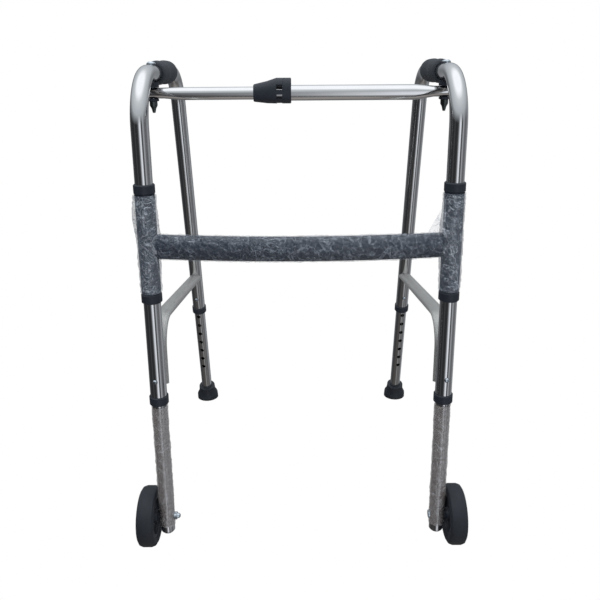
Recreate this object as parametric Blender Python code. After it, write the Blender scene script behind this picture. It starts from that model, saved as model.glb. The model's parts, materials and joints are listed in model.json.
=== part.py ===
"""Folding walking frame on two front wheels and two rubber feet, one object for each sub-part.

Metres, +Z up. The front is at -Y and the user stands at +Y, between the two side frames.
Left (-X) and right (+X) are as seen from the front. Each side frame is an upturned U of tube
whose front post turns in a sleeve of the front frame. Lengths along Y are measured backwards
from the axes of the front posts.
"""

import math

import bmesh
import bpy
from mathutils import Matrix, Vector

# Overall shape
POST_SPACING = 0.484  # between the axes of the two front posts
HANDLE_HEIGHT = 0.820  # axis of the handle tubes
REAR_FOOT_REACH = 0.5415  # middle of a rear foot, on the floor
REAR_LEG_SLOPE = 0.2608  # how far a rear leg comes forward for each metre that it rises

# Gaps between pieces
SEAT_GAP = 0.0003  # pieces that are fixed to each other
SLIDE_GAP = 0.0005  # pieces that turn or slide on each other

# Side frames
TUBE_RADIUS = 0.0140
TUBE_WALL = 0.0013
TUBE_BEND_RADIUS = 0.080
BEND_STEPS = 7
TUBE_SIDES = 20
BORE_RADIUS = TUBE_RADIUS - TUBE_WALL

# Braces of the side frames: flat-sided tubes that end in a downward bend behind the post
BRACE_HALF_WIDTH = 0.0135
BRACE_HALF_HEIGHT = 0.0085
BRACE_REAR_HEIGHT = HANDLE_HEIGHT - 0.463
BRACE_FRONT_HEIGHT = HANDLE_HEIGHT - 0.401
BRACE_BEND_RADIUS = 0.045
BRACE_FOOT_HEIGHT = HANDLE_HEIGHT - 0.515
BRACE_FLAT_HALF_WIDTH = 0.0148  # where the tube is flattened against the post
BRACE_FLAT_HALF_HEIGHT = 0.0055
BRACE_WALL = 0.0015

# Hand grips
GRIP_START = 0.129
GRIP_LENGTH = 0.110
GRIP_RADIUS = 0.0190
GRIP_SWELL = 0.0014  # how much the palm bulge and the rear rim stand out

# Front frame: two hinge sleeves and the lower crossbar
SLEEVE_BOTTOM = HANDLE_HEIGHT - 0.3432
SLEEVE_LENGTH = 0.1630
SLEEVE_WALL = 0.0012
SLEEVE_BORE = TUBE_RADIUS + SLIDE_GAP
SLEEVE_RADIUS = SLEEVE_BORE + SLEEVE_WALL
COLLAR_WALL = 0.0025
COLLAR_RADIUS = TUBE_RADIUS + SEAT_GAP + COLLAR_WALL
COLLAR_LENGTH = 0.0155
LOWER_BAR_HEIGHT = HANDLE_HEIGHT - 0.265
LOWER_BAR_HALF_HEIGHT = 0.0200
LOWER_BAR_HALF_DEPTH = 0.0100
LOWER_BAR_WALL = 0.0015
LOWER_BAR_BOW = 0.022  # how far its middle stands forward of its ends

# Leg extensions, which slide in the lower ends of the side tubes
LEG_RADIUS = BORE_RADIUS - SLIDE_GAP
LEG_WALL = 0.0013
HOLE_PITCH = 0.0254
HOLE_RADIUS = 0.0045
FRONT_HOLES = (6, 0)  # above and below the button: the front legs are at their shortest
REAR_HOLES_ABOVE = 1
REAR_LOWEST_HOLE = 0.090  # the row stops at least this far up from the leg's end
LEG_PAST_LAST_HOLE = 0.020  # how far a leg reaches up past its highest hole
LEG_LEAST_ENGAGEMENT = 0.085
BUTTON_RADIUS = 0.0040
BUTTON_STANDOFF = 0.0030
BUTTON_YAW = math.radians(8)  # the buttons face forwards and this much outwards
FRONT_BUTTON_HEIGHT = HANDLE_HEIGHT - 0.497
REAR_BUTTON_HEIGHT = HANDLE_HEIGHT - 0.5165
FRONT_RING_BOTTOM = HANDLE_HEIGHT - 0.5425
REAR_RING_BOTTOM = HANDLE_HEIGHT - 0.557
RING_LENGTH = 0.0155
RING_LIP = 0.0045  # the part of the ring that grips the leg, below the tube's end
RING_WALL = 0.0018

# Wheels and axles
WHEEL_RADIUS = 0.0520
WHEEL_WIDTH = 0.030
WHEEL_SIDES = 24
RIM_RADIUS = 0.037
RIM_HALF_WIDTH = 0.0125
HUB_RECESS = 0.0070  # depth of the outer hollow that holds the axle bolt's head
AXLE_RADIUS = 0.0040
LEG_BELOW_AXLE = 0.027
WASHER_THICKNESS = 0.0032
WASHER_RADIUS = 0.0095
HEAD_RADIUS = 0.0068
HEAD_THICKNESS = 0.0050
LEFT_NUT_LENGTH = 0.0110  # a domed nut
RIGHT_NUT_LENGTH = 0.0030  # a thin nut
PLUG_FLANGE = 0.0035
PLUG_SPIGOT = 0.0100

# Rubber feet
FOOT_HEIGHT = 0.038
FOOT_BASE_RADIUS = 0.026
FOOT_TOP_RADIUS = 0.0200
FOOT_FLOOR = 0.012  # rubber under the end of the leg

# Telescopic top crossbar
PIN_REACH = 0.110  # pivot bolts
OUTER_BAR_RADIUS = 0.0127
OUTER_BAR_WALL = 0.0011
INNER_BAR_RADIUS = 0.0105
INNER_BAR_WALL = 0.0012
BAR_HEIGHT = HANDLE_HEIGHT - 0.033
BAR_PAST_PIN = 0.014
BAR_END_HALF_HEIGHT = 0.0088  # the squashed ends
BAR_END_SPREAD = 0.0008  # how much wider the squashed end is, each side
BAR_SQUASH_START = 0.050  # from the pin
BAR_SQUASH_END = 0.018
OUTER_BAR_START = -0.040
INNER_BAR_NOSE = 0.045
BUSH_START = -0.015
BUSH_LENGTH = 0.058

# Pivot bolts through the handles
PIN_RADIUS = 0.0030
PIN_HOLE_RADIUS = 0.0036
PIN_HEAD_RADIUS = 0.0075
PIN_HEAD_HEIGHT = 0.0042
SPACER_RADIUS = 0.0105
SPACER_HEIGHT = 0.0085
PIVOT_WASHER_RADIUS = 0.0095
PIVOT_WASHER_HEIGHT = 0.0040
PIVOT_NUT_RADIUS = 0.0065
PIVOT_NUT_HEIGHT = 0.0190

# Lock of the top crossbar. Its top stands further from the bar than its bottom.
LOCK_START = -0.075
LOCK_SHOULDER = -0.0372  # where the windows start
LOCK_END = -0.0262
LOCK_RING_END = -0.0128
LOCK_NECK = (0.0145, 0.0140, 0.0145)  # top and bottom above and below the bar's axis, and half width
LOCK_MIDDLE = (0.0195, 0.0165, 0.0170)
LOCK_BLOCK = (0.0245, 0.0170, 0.0185)
LOCK_EDGE = 0.0010
LOCK_SIDES = 28
WINDOW_DEGREES = (-90, -18, 30)  # the middles of the windows, from the front upwards
WINDOW_HALF_WIDTHS = (0.0095, 0.0040, 0.0040)

LEAN = math.atan(REAR_LEG_SLOPE)
FRONT_Y = (WHEEL_RADIUS - REAR_FOOT_REACH - FOOT_BASE_RADIUS) / 2  # centres the object
HALF_SPACING = POST_SPACING / 2
WHEEL_INNER_FACE = LEG_RADIUS + SEAT_GAP + WASHER_THICKNESS + SLIDE_GAP
SPACER_TOP = HANDLE_HEIGHT - TUBE_RADIUS - SEAT_GAP
SPACER_BOTTOM = SPACER_TOP - SPACER_HEIGHT
BAR_END_TOP = SPACER_BOTTOM - SEAT_GAP
BAR_END_HEIGHT = BAR_END_TOP - BAR_END_HALF_HEIGHT
PIVOT_WASHER_TOP = BAR_END_HEIGHT - BAR_END_HALF_HEIGHT - SEAT_GAP
PIVOT_NUT_TOP = PIVOT_WASHER_TOP - PIVOT_WASHER_HEIGHT - SEAT_GAP
SIDES = (("left", -1), ("right", 1))


# Helpers

def clear_scene():
    for obj in list(bpy.data.objects):
        bpy.data.objects.remove(obj, do_unlink=True)


def material(name, color, roughness, metallic):
    made = bpy.data.materials.new(name)
    made.use_nodes = True
    shader = made.node_tree.nodes["Principled BSDF"]
    shader.inputs["Base Color"].default_value = (*color, 1)
    shader.inputs["Roughness"].default_value = roughness
    shader.inputs["Metallic"].default_value = metallic
    return made


def empty(name, place, parent=None):
    made = bpy.data.objects.new(name, None)
    made.location = place
    made.parent = parent
    bpy.context.scene.collection.objects.link(made)
    return made


def add_object(name, bm, look, parent, matrix=None):
    """An object from a bmesh in its parent's coordinates, with its normals outwards."""
    if matrix:
        bmesh.ops.transform(bm, matrix=matrix, verts=bm.verts)
    bmesh.ops.recalc_face_normals(bm, faces=bm.faces)
    mesh = bpy.data.meshes.new(name)
    bm.to_mesh(mesh)
    bm.free()
    mesh.shade_smooth()
    mesh.set_sharp_from_angle(angle=math.radians(35))
    made = bpy.data.objects.new(name, mesh)
    made.parent = parent
    bpy.context.scene.collection.objects.link(made)
    if look:
        mesh.materials.append(look)
    else:
        made.hide_render = True
        made.display_type = "WIRE"
    return made


def cut(target, cutter):
    modifier = target.modifiers.new(cutter.name, "BOOLEAN")
    modifier.object = cutter


def along(point, direction):
    """The matrix that puts +Z along direction and the origin at point."""
    return Matrix.Translation(point) @ Vector(direction).to_track_quat("Z", "Y").to_matrix().to_4x4()


def join_rings(bm, rings, closed):
    pairs = list(zip(rings, rings[1:]))
    if closed:
        pairs.append((rings[-1], rings[0]))
    for low, high in pairs:
        count = max(len(low), len(high))
        for i in range(count):
            j = (i + 1) % count
            corners = [low[i % len(low)], low[j % len(low)], high[j % len(high)], high[i % len(high)]]
            bm.faces.new(list(dict.fromkeys(corners)))


def turned(profile, sides, flats=False):
    """A profile of (radius, height) turned round Z. A profile that starts and ends on the axis
    gives a solid, and any other is closed into a ring. With flats, the radius is to the middle
    of a side instead of to a corner."""
    bm = bmesh.new()
    scale = 1 / math.cos(math.pi / sides) if flats else 1
    turn = 0.5 if flats else 0
    rings = []
    for radius, height in profile:
        if radius == 0:
            rings.append([bm.verts.new((0, 0, height))])
            continue
        angles = [2 * math.pi * (i + turn) / sides for i in range(sides)]
        reach = radius * scale
        rings.append([bm.verts.new((reach * math.cos(a), reach * math.sin(a), height)) for a in angles])
    join_rings(bm, rings, closed=profile[0][0] != 0)
    return bm


def ring_profile(bore, radius, bottom, top, edge=0.0):
    """A tube's profile, with its outer edges cut off at 45 degrees."""
    if not edge:
        return [(bore, bottom), (radius, bottom), (radius, top), (bore, top)]
    return [
        (bore, bottom), (radius - edge, bottom), (radius, bottom + edge),
        (radius, top - edge), (radius - edge, top), (bore, top),
    ]


def rod(radius, start, end, sides=12):
    """A plain cylinder between two points, for pins and for cutting holes."""
    start, end = Vector(start), Vector(end)
    bm = turned([(0, 0), (radius, 0), (radius, (end - start).length), (0, (end - start).length)], sides)
    bmesh.ops.transform(bm, matrix=along(start, end - start), verts=bm.verts)
    return bm


def merge(parts):
    """One bmesh from several that don't touch."""
    whole = bmesh.new()
    for part in parts:
        mesh = bpy.data.meshes.new("part")
        part.to_mesh(mesh)
        part.free()
        whole.from_mesh(mesh)
        bpy.data.meshes.remove(mesh)
    return whole


def box(low, high):
    bm = bmesh.new()
    bmesh.ops.create_cube(bm, size=1)
    middle = (Vector(low) + Vector(high)) / 2
    size = Vector(high) - Vector(low)
    bmesh.ops.transform(bm, matrix=Matrix.Translation(middle) @ Matrix.Diagonal((*size, 1)), verts=bm.verts)
    return bm


def rounded_path(corners, radius, steps):
    """Stations (point, direction) along a line through 2-D corners, with arcs of one radius."""
    corners = [Vector(corner) for corner in corners]
    first = (corners[1] - corners[0]).normalized()
    stations = [(corners[0], first)]
    for before, corner, after in zip(corners, corners[1:], corners[2:]):
        come, leave = (corner - before).normalized(), (after - corner).normalized()
        turn = come.angle_signed(leave)
        setback = radius * math.tan(abs(turn) / 2)
        for i in range(steps + 1):
            swept = abs(turn) * i / steps
            aside = (leave - come * math.cos(turn)) / abs(math.sin(turn))
            point = corner - come * setback + radius * (come * math.sin(swept) + aside * (1 - math.cos(swept)))
            stations.append((point, come * math.cos(swept) + aside * math.sin(swept)))
    stations.append((corners[-1], (corners[-1] - corners[-2]).normalized()))
    return stations


def swept_tube(stations, place, across, section, wall, sides):
    """A hollow tube along planar stations. place maps a 2-D point or direction into 3-D, across is
    the direction square to the plane, and section(i) gives the half sizes across and in the plane."""
    bm = bmesh.new()
    across = Vector(across)
    skins = []
    for shrink in (0, wall):
        rings = []
        for i, (point, direction) in enumerate(stations):
            half_across, half_in = (size - shrink for size in section(i))
            middle = Vector(place(point))
            tangent = Vector(place(direction)) - Vector(place((0, 0)))
            inward = across.cross(tangent).normalized()
            ring = []
            for k in range(sides):
                angle = 2 * math.pi * k / sides
                offset = across * half_across * math.cos(angle) + inward * half_in * math.sin(angle)
                ring.append(bm.verts.new(middle + offset))
            rings.append(ring)
        skins.append(rings)
    outer, inner = skins
    join_rings(bm, outer + inner[::-1], closed=True)
    return bm


def in_side_plane(point):
    """A (Y, Z) point of a side frame's plane."""
    return (0, point[0], point[1])


def rear_leg_point(height):
    return (0, REAR_FOOT_REACH - REAR_LEG_SLOPE * height, height)


UP_REAR_LEG = Vector((0, -math.sin(LEAN), math.cos(LEAN)))
UP = Vector((0, 0, 1))


# Front frame

def build_front_frame(root, looks):
    for side, sign in SIDES:
        bm = turned(ring_profile(SLEEVE_BORE, SLEEVE_RADIUS, 0, SLEEVE_LENGTH), TUBE_SIDES)
        post = Vector((sign * HALF_SPACING, 0, 0))
        add_object(f"{side}_hinge_sleeve", bm, looks["black_paint"], root,
                   Matrix.Translation(post + UP * SLEEVE_BOTTOM))

    steps = 12
    bow_radius = (HALF_SPACING**2 + LOWER_BAR_BOW**2) / (2 * LOWER_BAR_BOW)
    half_angle = math.asin(HALF_SPACING / bow_radius)
    stations = []
    for i in range(steps + 1):
        angle = half_angle * (2 * i / steps - 1)
        point = (bow_radius * math.sin(angle), bow_radius * (math.cos(half_angle) - math.cos(angle)))
        stations.append((point, (math.cos(angle), math.sin(angle))))
    bm = swept_tube(stations, lambda p: (p[0], p[1], LOWER_BAR_HEIGHT), UP,
                    lambda i: (LOWER_BAR_HALF_HEIGHT, LOWER_BAR_HALF_DEPTH), LOWER_BAR_WALL, 16)
    bar = add_object("lower_crossbar", bm, looks["black_paint"], root)
    for side, sign in SIDES:
        post = Vector((sign * HALF_SPACING, 0, 0))
        cope = rod(SLEEVE_RADIUS + SEAT_GAP, post + UP * SLEEVE_BOTTOM,
                   post + UP * (SLEEVE_BOTTOM + SLEEVE_LENGTH), TUBE_SIDES)
        cut(bar, add_object(f"cut_{side}_cope", cope, None, root))


# Side frames

def side_tube_stations():
    lower_front = (0, FRONT_RING_BOTTOM + RING_LIP + SEAT_GAP)
    rear_corner = (rear_leg_point(HANDLE_HEIGHT)[1], HANDLE_HEIGHT)
    rear_end = Vector(rear_leg_point(REAR_RING_BOTTOM)) + UP_REAR_LEG * (RING_LIP + SEAT_GAP)
    corners = [lower_front, (0, HANDLE_HEIGHT), rear_corner, (rear_end.y, rear_end.z)]
    return rounded_path(corners, TUBE_BEND_RADIUS, BEND_STEPS)


def button_direction(sign, up):
    """Forwards and a little outwards, square to the leg."""
    forwards = Vector((sign * math.sin(BUTTON_YAW), -math.cos(BUTTON_YAW), 0))
    return (forwards - up * forwards.dot(up)).normalized()


def build_side_tube(side, sign, parent, looks):
    stations = side_tube_stations()
    bm = swept_tube(stations, in_side_plane, (1, 0, 0), lambda i: (TUBE_RADIUS, TUBE_RADIUS),
                    TUBE_WALL, TUBE_SIDES)
    tube = add_object(f"{side}_side_tube", bm, looks["chrome"], parent)
    pin = Vector((0, PIN_REACH, HANDLE_HEIGHT))
    holes = [rod(PIN_HOLE_RADIUS, pin - UP * 2 * TUBE_RADIUS, pin + UP * 2 * TUBE_RADIUS)]
    for point, up in leg_buttons():
        out = button_direction(sign, up)
        holes.append(rod(BUTTON_RADIUS + SLIDE_GAP, point + out * LEG_RADIUS / 2, point + out * 2 * TUBE_RADIUS))
    cut(tube, add_object(f"cut_{side}_side_tube", merge(holes), None, parent))


def leg_buttons():
    """The point on the leg's axis and the leg's direction, for the front and the rear button."""
    yield Vector((0, 0, FRONT_BUTTON_HEIGHT)), UP
    yield Vector(rear_leg_point(REAR_BUTTON_HEIGHT)), UP_REAR_LEG


def build_brace(side, parent, looks):
    """From the rear leg forwards, then down behind the post, where it is flattened."""
    flat_y = TUBE_RADIUS + SEAT_GAP + BRACE_FLAT_HALF_HEIGHT
    rear = rear_leg_point(BRACE_REAR_HEIGHT)
    corners = [(rear[1], rear[2]), (flat_y, BRACE_FRONT_HEIGHT), (flat_y, BRACE_FOOT_HEIGHT)]
    path = rounded_path(corners, BRACE_BEND_RADIUS, BEND_STEPS)
    # One more station where the flattening starts, this far behind the bend.
    flatten_length = 0.060
    bend_start, direction = path[1]
    path.insert(1, (bend_start - direction * flatten_length, direction))

    def section(i):
        if i < 2:
            return BRACE_HALF_WIDTH, BRACE_HALF_HEIGHT
        return BRACE_FLAT_HALF_WIDTH, BRACE_FLAT_HALF_HEIGHT

    bm = swept_tube(path, in_side_plane, (1, 0, 0), section, BRACE_WALL, 16)
    brace = add_object(f"{side}_side_brace", bm, looks["grey"], parent)
    leg = Vector(rear)
    reach = UP_REAR_LEG * 0.060
    cope = rod(TUBE_RADIUS + SEAT_GAP, leg - reach, leg + reach, TUBE_SIDES)
    cut(brace, add_object(f"cut_{side}_side_brace", cope, None, parent))


def build_grip(side, parent, looks):
    bore = TUBE_RADIUS + SEAT_GAP
    steps = 10
    profile = [(bore, 0)]
    for i in range(steps + 1):
        share = i / steps
        bulge = GRIP_SWELL * (0.5 - 0.5 * math.cos(4 * math.pi * share)) + GRIP_SWELL * share**4
        edge = 0.0025 if i in (0, steps) else 0
        profile.append((GRIP_RADIUS + bulge - edge, GRIP_LENGTH * share))
    profile.append((bore, GRIP_LENGTH))
    place = along((0, GRIP_START, HANDLE_HEIGHT), (0, 1, 0))
    add_object(f"{side}_hand_grip", turned(profile, TUBE_SIDES), looks["foam"], parent, place)


def build_collars(side, parent, looks):
    """Two collars fixed on the post, which hold the hinge sleeve between them."""
    bore = TUBE_RADIUS + SEAT_GAP
    collars = {
        "upper": SLEEVE_BOTTOM + SLEEVE_LENGTH + SEAT_GAP,
        "lower": SLEEVE_BOTTOM - SEAT_GAP - COLLAR_LENGTH,
    }
    for which, bottom in collars.items():
        bm = turned(ring_profile(bore, COLLAR_RADIUS, 0, COLLAR_LENGTH, 0.0015), TUBE_SIDES)
        add_object(f"{side}_{which}_hinge_collar", bm, looks["black_plastic"], parent,
                   Matrix.Translation(UP * bottom))


def build_leg_ring(side, which, foot, up, parent, looks):
    """A stepped plastic ring on the tube's end, whose lip guides the leg."""
    radius = TUBE_RADIUS + SEAT_GAP + RING_WALL
    edge = 0.0012
    profile = [
        (LEG_RADIUS + SLIDE_GAP, 0), (radius - edge, 0), (radius, edge), (radius, RING_LENGTH - edge),
        (radius - edge, RING_LENGTH), (TUBE_RADIUS + SEAT_GAP, RING_LENGTH),
        (TUBE_RADIUS + SEAT_GAP, RING_LIP), (LEG_RADIUS + SLIDE_GAP, RING_LIP),
    ]
    add_object(f"{side}_{which}_leg_ring", turned(profile, TUBE_SIDES), looks["black_plastic"],
               parent, along(foot, up))


def build_button(side, sign, which, point, up, parent, looks):
    """A round-nosed pin in the tube's hole. It is pressed in along its own axis."""
    inner, outer = LEG_RADIUS + SLIDE_GAP * 0.8, TUBE_RADIUS + BUTTON_STANDOFF
    nose = BUTTON_RADIUS * 0.6
    profile = [
        (0, inner), (BUTTON_RADIUS, inner), (BUTTON_RADIUS, outer - nose),
        (BUTTON_RADIUS * 0.7, outer - nose * 0.3), (0, outer),
    ]
    add_object(f"{side}_{which}_leg_button", turned(profile, 12), looks["steel"], parent,
               along(point, button_direction(sign, up)))


def build_pivot_bolt(side, parent, looks):
    """The bolt through the handle. On the left it holds the crossbar and its nut. On the right the
    crossbar's joint is the open one, so the bolt ends at the spacer."""
    head_bottom = HANDLE_HEIGHT + TUBE_RADIUS + SEAT_GAP
    foot = PIVOT_NUT_TOP + SEAT_GAP if side == "left" else SPACER_BOTTOM
    pin = Vector((0, PIN_REACH, 0))
    profile = [
        (0, foot), (PIN_RADIUS, foot), (PIN_RADIUS, head_bottom), (PIN_HEAD_RADIUS, head_bottom),
        (PIN_HEAD_RADIUS, head_bottom + PIN_HEAD_HEIGHT * 0.4),
        (PIN_HEAD_RADIUS * 0.6, head_bottom + PIN_HEAD_HEIGHT), (0, head_bottom + PIN_HEAD_HEIGHT),
    ]
    add_object(f"{side}_pivot_bolt", turned(profile, 12), looks["steel"], parent, Matrix.Translation(pin))
    bm = turned(ring_profile(PIN_HOLE_RADIUS, SPACER_RADIUS, SPACER_BOTTOM, SPACER_TOP), 16)
    add_object(f"{side}_pivot_spacer", bm, looks["black_plastic"], parent, Matrix.Translation(pin))


def build_side(side, sign, root, looks):
    parent = empty(f"{side}_fold_axis", (sign * HALF_SPACING, 0, 0), root)
    build_side_tube(side, sign, parent, looks)
    build_brace(side, parent, looks)
    build_grip(side, parent, looks)
    build_collars(side, parent, looks)
    build_leg_ring(side, "front", (0, 0, FRONT_RING_BOTTOM), UP, parent, looks)
    build_leg_ring(side, "rear", rear_leg_point(REAR_RING_BOTTOM), UP_REAR_LEG, parent, looks)
    for which, (point, up) in zip(("front", "rear"), leg_buttons()):
        build_button(side, sign, which, point, up, parent, looks)
    build_pivot_bolt(side, parent, looks)
    build_front_leg(side, sign, parent, looks)
    build_rear_leg(side, sign, parent, looks)
    build_wheel(side, sign, parent, looks)


# Legs

def leg_tube(name, foot, button, up, sign, holes_each_way, parent, looks):
    """A leg from its lower end up past its button, with a row of holes at one pitch."""
    above, below = holes_each_way
    past_button = max(LEG_LEAST_ENGAGEMENT, above * HOLE_PITCH + LEG_PAST_LAST_HOLE)
    length = (button - foot).dot(up) + past_button
    bm = turned(ring_profile(LEG_RADIUS - LEG_WALL, LEG_RADIUS, 0, length), TUBE_SIDES)
    leg = add_object(name, bm, looks["chrome"], parent, along(foot, up))
    out = button_direction(sign, up)
    holes = []
    for i in range(-above, below + 1):
        middle = button - up * HOLE_PITCH * i
        holes.append(rod(HOLE_RADIUS, middle + out * LEG_RADIUS / 3, middle + out * 2 * LEG_RADIUS, 10))
    return leg, holes


def build_front_leg(side, sign, parent, looks):
    foot = Vector((0, 0, WHEEL_RADIUS - LEG_BELOW_AXLE))
    button = Vector((0, 0, FRONT_BUTTON_HEIGHT))
    leg, holes = leg_tube(f"{side}_front_leg", foot, button, UP, sign, FRONT_HOLES, parent, looks)
    axle = Vector((0, 0, WHEEL_RADIUS))
    across = Vector((2 * LEG_RADIUS, 0, 0))
    holes.append(rod(AXLE_RADIUS + SEAT_GAP, axle - across, axle + across))
    cut(leg, add_object(f"cut_{side}_front_leg", merge(holes), None, parent))

    spigot = LEG_RADIUS - LEG_WALL - SEAT_GAP
    profile = [
        (0, -PLUG_FLANGE), (LEG_RADIUS * 0.8, -PLUG_FLANGE), (LEG_RADIUS, -SEAT_GAP * 2),
        (LEG_RADIUS, -SEAT_GAP), (spigot, -SEAT_GAP), (spigot, PLUG_SPIGOT), (0, PLUG_SPIGOT),
    ]
    add_object(f"{side}_front_leg_plug", turned(profile, TUBE_SIDES), looks["black_plastic"],
               parent, Matrix.Translation(foot))
    build_axle(side, sign, axle, parent, looks)


def build_axle(side, sign, axle, parent, looks):
    """The axle bolt's head sits in the wheel's outer hollow, and its nut is on the leg's inner side."""
    head = WHEEL_INNER_FACE + WHEEL_WIDTH - HUB_RECESS + SLIDE_GAP
    outwards = along(axle, (sign, 0, 0))
    profile = [
        (0, -LEG_RADIUS), (AXLE_RADIUS, -LEG_RADIUS), (AXLE_RADIUS, head), (HEAD_RADIUS, head),
        (HEAD_RADIUS, head + HEAD_THICKNESS), (0, head + HEAD_THICKNESS),
    ]
    add_object(f"{side}_axle_bolt", turned(profile, 12), looks["steel"], parent, outwards)

    face = LEG_RADIUS + SEAT_GAP
    bm = turned(ring_profile(AXLE_RADIUS + SEAT_GAP, WASHER_RADIUS, face, face + WASHER_THICKNESS), 16)
    add_object(f"{side}_wheel_washer", bm, looks["black_plastic"], parent, outwards)

    length = LEFT_NUT_LENGTH if side == "left" else RIGHT_NUT_LENGTH
    shoulder = min(length, 0.0055)
    profile = [(0, face), (HEAD_RADIUS, face), (HEAD_RADIUS, face + shoulder - 0.0005)]
    if length > shoulder:
        profile += [(HEAD_RADIUS * 0.75, face + shoulder), (HEAD_RADIUS * 0.6, face + length - 0.0015)]
    profile += [(HEAD_RADIUS * 0.3, face + length), (0, face + length)]
    add_object(f"{side}_axle_nut", turned(profile, 12), looks["steel"], parent, along(axle, (-sign, 0, 0)))


def build_wheel(side, sign, parent, looks):
    middle = WHEEL_INNER_FACE + WHEEL_WIDTH / 2
    hub_axis = empty(f"{side}_wheel_axis", (sign * middle, 0, WHEEL_RADIUS), parent)
    outwards = along((0, 0, 0), (sign, 0, 0))
    half = WHEEL_WIDTH / 2
    bore = AXLE_RADIUS + SLIDE_GAP
    boss, web, rim_bore = 0.0115, 0.0060, 0.0310
    profile = [
        (bore, -half), (boss - 0.001, -half), (boss + 0.001, -web), (rim_bore - 0.001, -web),
        (rim_bore, -RIM_HALF_WIDTH), (RIM_RADIUS, -RIM_HALF_WIDTH), (RIM_RADIUS, RIM_HALF_WIDTH),
        (rim_bore, RIM_HALF_WIDTH), (rim_bore - 0.001, web), (boss + 0.001, web),
        (boss, half - HUB_RECESS), (bore, half - HUB_RECESS),
    ]
    add_object(f"{side}_wheel_hub", turned(profile, WHEEL_SIDES, flats=True), looks["black_plastic"],
               hub_axis, outwards)
    seat = RIM_RADIUS + SEAT_GAP
    profile = [
        (seat, -half + 0.002), (seat + 0.003, -half), (WHEEL_RADIUS - 0.006, -half),
        (WHEEL_RADIUS - 0.002, -half + 0.0025), (WHEEL_RADIUS, -half + 0.008),
    ]
    profile += [(radius, -height) for radius, height in reversed(profile)]
    add_object(f"{side}_tyre", turned(profile, WHEEL_SIDES, flats=True), looks["rubber"],
               hub_axis, outwards)


def build_rear_leg(side, sign, parent, looks):
    foot = Vector(rear_leg_point(0)) + UP_REAR_LEG * (FOOT_FLOOR + SEAT_GAP)
    button = Vector(rear_leg_point(REAR_BUTTON_HEIGHT))
    below = int(((button - foot).dot(UP_REAR_LEG) - REAR_LOWEST_HOLE) / HOLE_PITCH)
    leg, holes = leg_tube(f"{side}_rear_leg", foot, button, UP_REAR_LEG, sign,
                          (REAR_HOLES_ABOVE, below), parent, looks)
    cut(leg, add_object(f"cut_{side}_rear_leg", merge(holes), None, parent))
    build_foot(side, parent, looks)


def build_foot(side, parent, looks):
    """A rubber cup square to the leg, whose base is flat on the floor."""
    bm = bmesh.new()
    on_floor = Vector(rear_leg_point(0))
    sides = TUBE_SIDES
    pocket = LEG_RADIUS + SEAT_GAP
    steps = [
        (FOOT_BASE_RADIUS - 0.0005, 0.0130), (FOOT_BASE_RADIUS - 0.0030, 0.0170),
        (FOOT_TOP_RADIUS, 0.0270), (FOOT_TOP_RADIUS - 0.0005, FOOT_HEIGHT),
        (pocket, FOOT_HEIGHT), (pocket, FOOT_FLOOR),
    ]
    forwards = Vector((0, math.cos(LEAN), math.sin(LEAN)))
    rings = [[bm.verts.new(on_floor)]]
    angles = [2 * math.pi * k / sides for k in range(sides)]
    for radius in (FOOT_BASE_RADIUS,):
        rings.append([bm.verts.new(on_floor + Vector((radius * math.cos(a), radius * math.sin(a), 0)))
                      for a in angles])
    for radius, distance in steps:
        middle = on_floor + UP_REAR_LEG * distance
        rings.append([
            bm.verts.new(middle + Vector((1, 0, 0)) * radius * math.cos(a) + forwards * radius * math.sin(a))
            for a in angles
        ])
    rings.append([bm.verts.new(on_floor + UP_REAR_LEG * FOOT_FLOOR)])
    join_rings(bm, rings, closed=False)
    add_object(f"{side}_rubber_foot", bm, looks["rubber"], parent)


# Top crossbar

def bar_stations(pin_x, free_x):
    """From the squashed end, past the pin, to the plain end. The squashed end is raised to the
    underside of the spacer."""
    towards = math.copysign(1, free_x - pin_x)
    heights = [
        (pin_x - towards * BAR_PAST_PIN, BAR_END_HEIGHT), (pin_x + towards * BAR_SQUASH_END, BAR_END_HEIGHT),
        (pin_x + towards * BAR_SQUASH_START, BAR_HEIGHT), (free_x, BAR_HEIGHT),
    ]
    return [(point, (towards, 0)) for point in heights]


def telescopic_tube(name, pin_x, free_x, radius, wall, parent, looks):
    def section(i):
        if i < 2:
            return radius + BAR_END_SPREAD, BAR_END_HALF_HEIGHT
        return radius, radius

    stations = bar_stations(pin_x, free_x)
    bm = swept_tube(stations, lambda p: (p[0], 0, p[1]), (0, 1, 0), section, wall, TUBE_SIDES)
    tube = add_object(name, bm, looks["chrome"], parent)
    pin = Vector((pin_x, 0, BAR_END_HEIGHT))
    hole = rod(PIN_HOLE_RADIUS, pin - UP * 2 * radius, pin + UP * 2 * radius)
    cut(tube, add_object(f"cut_{name}", hole, None, parent))


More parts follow.
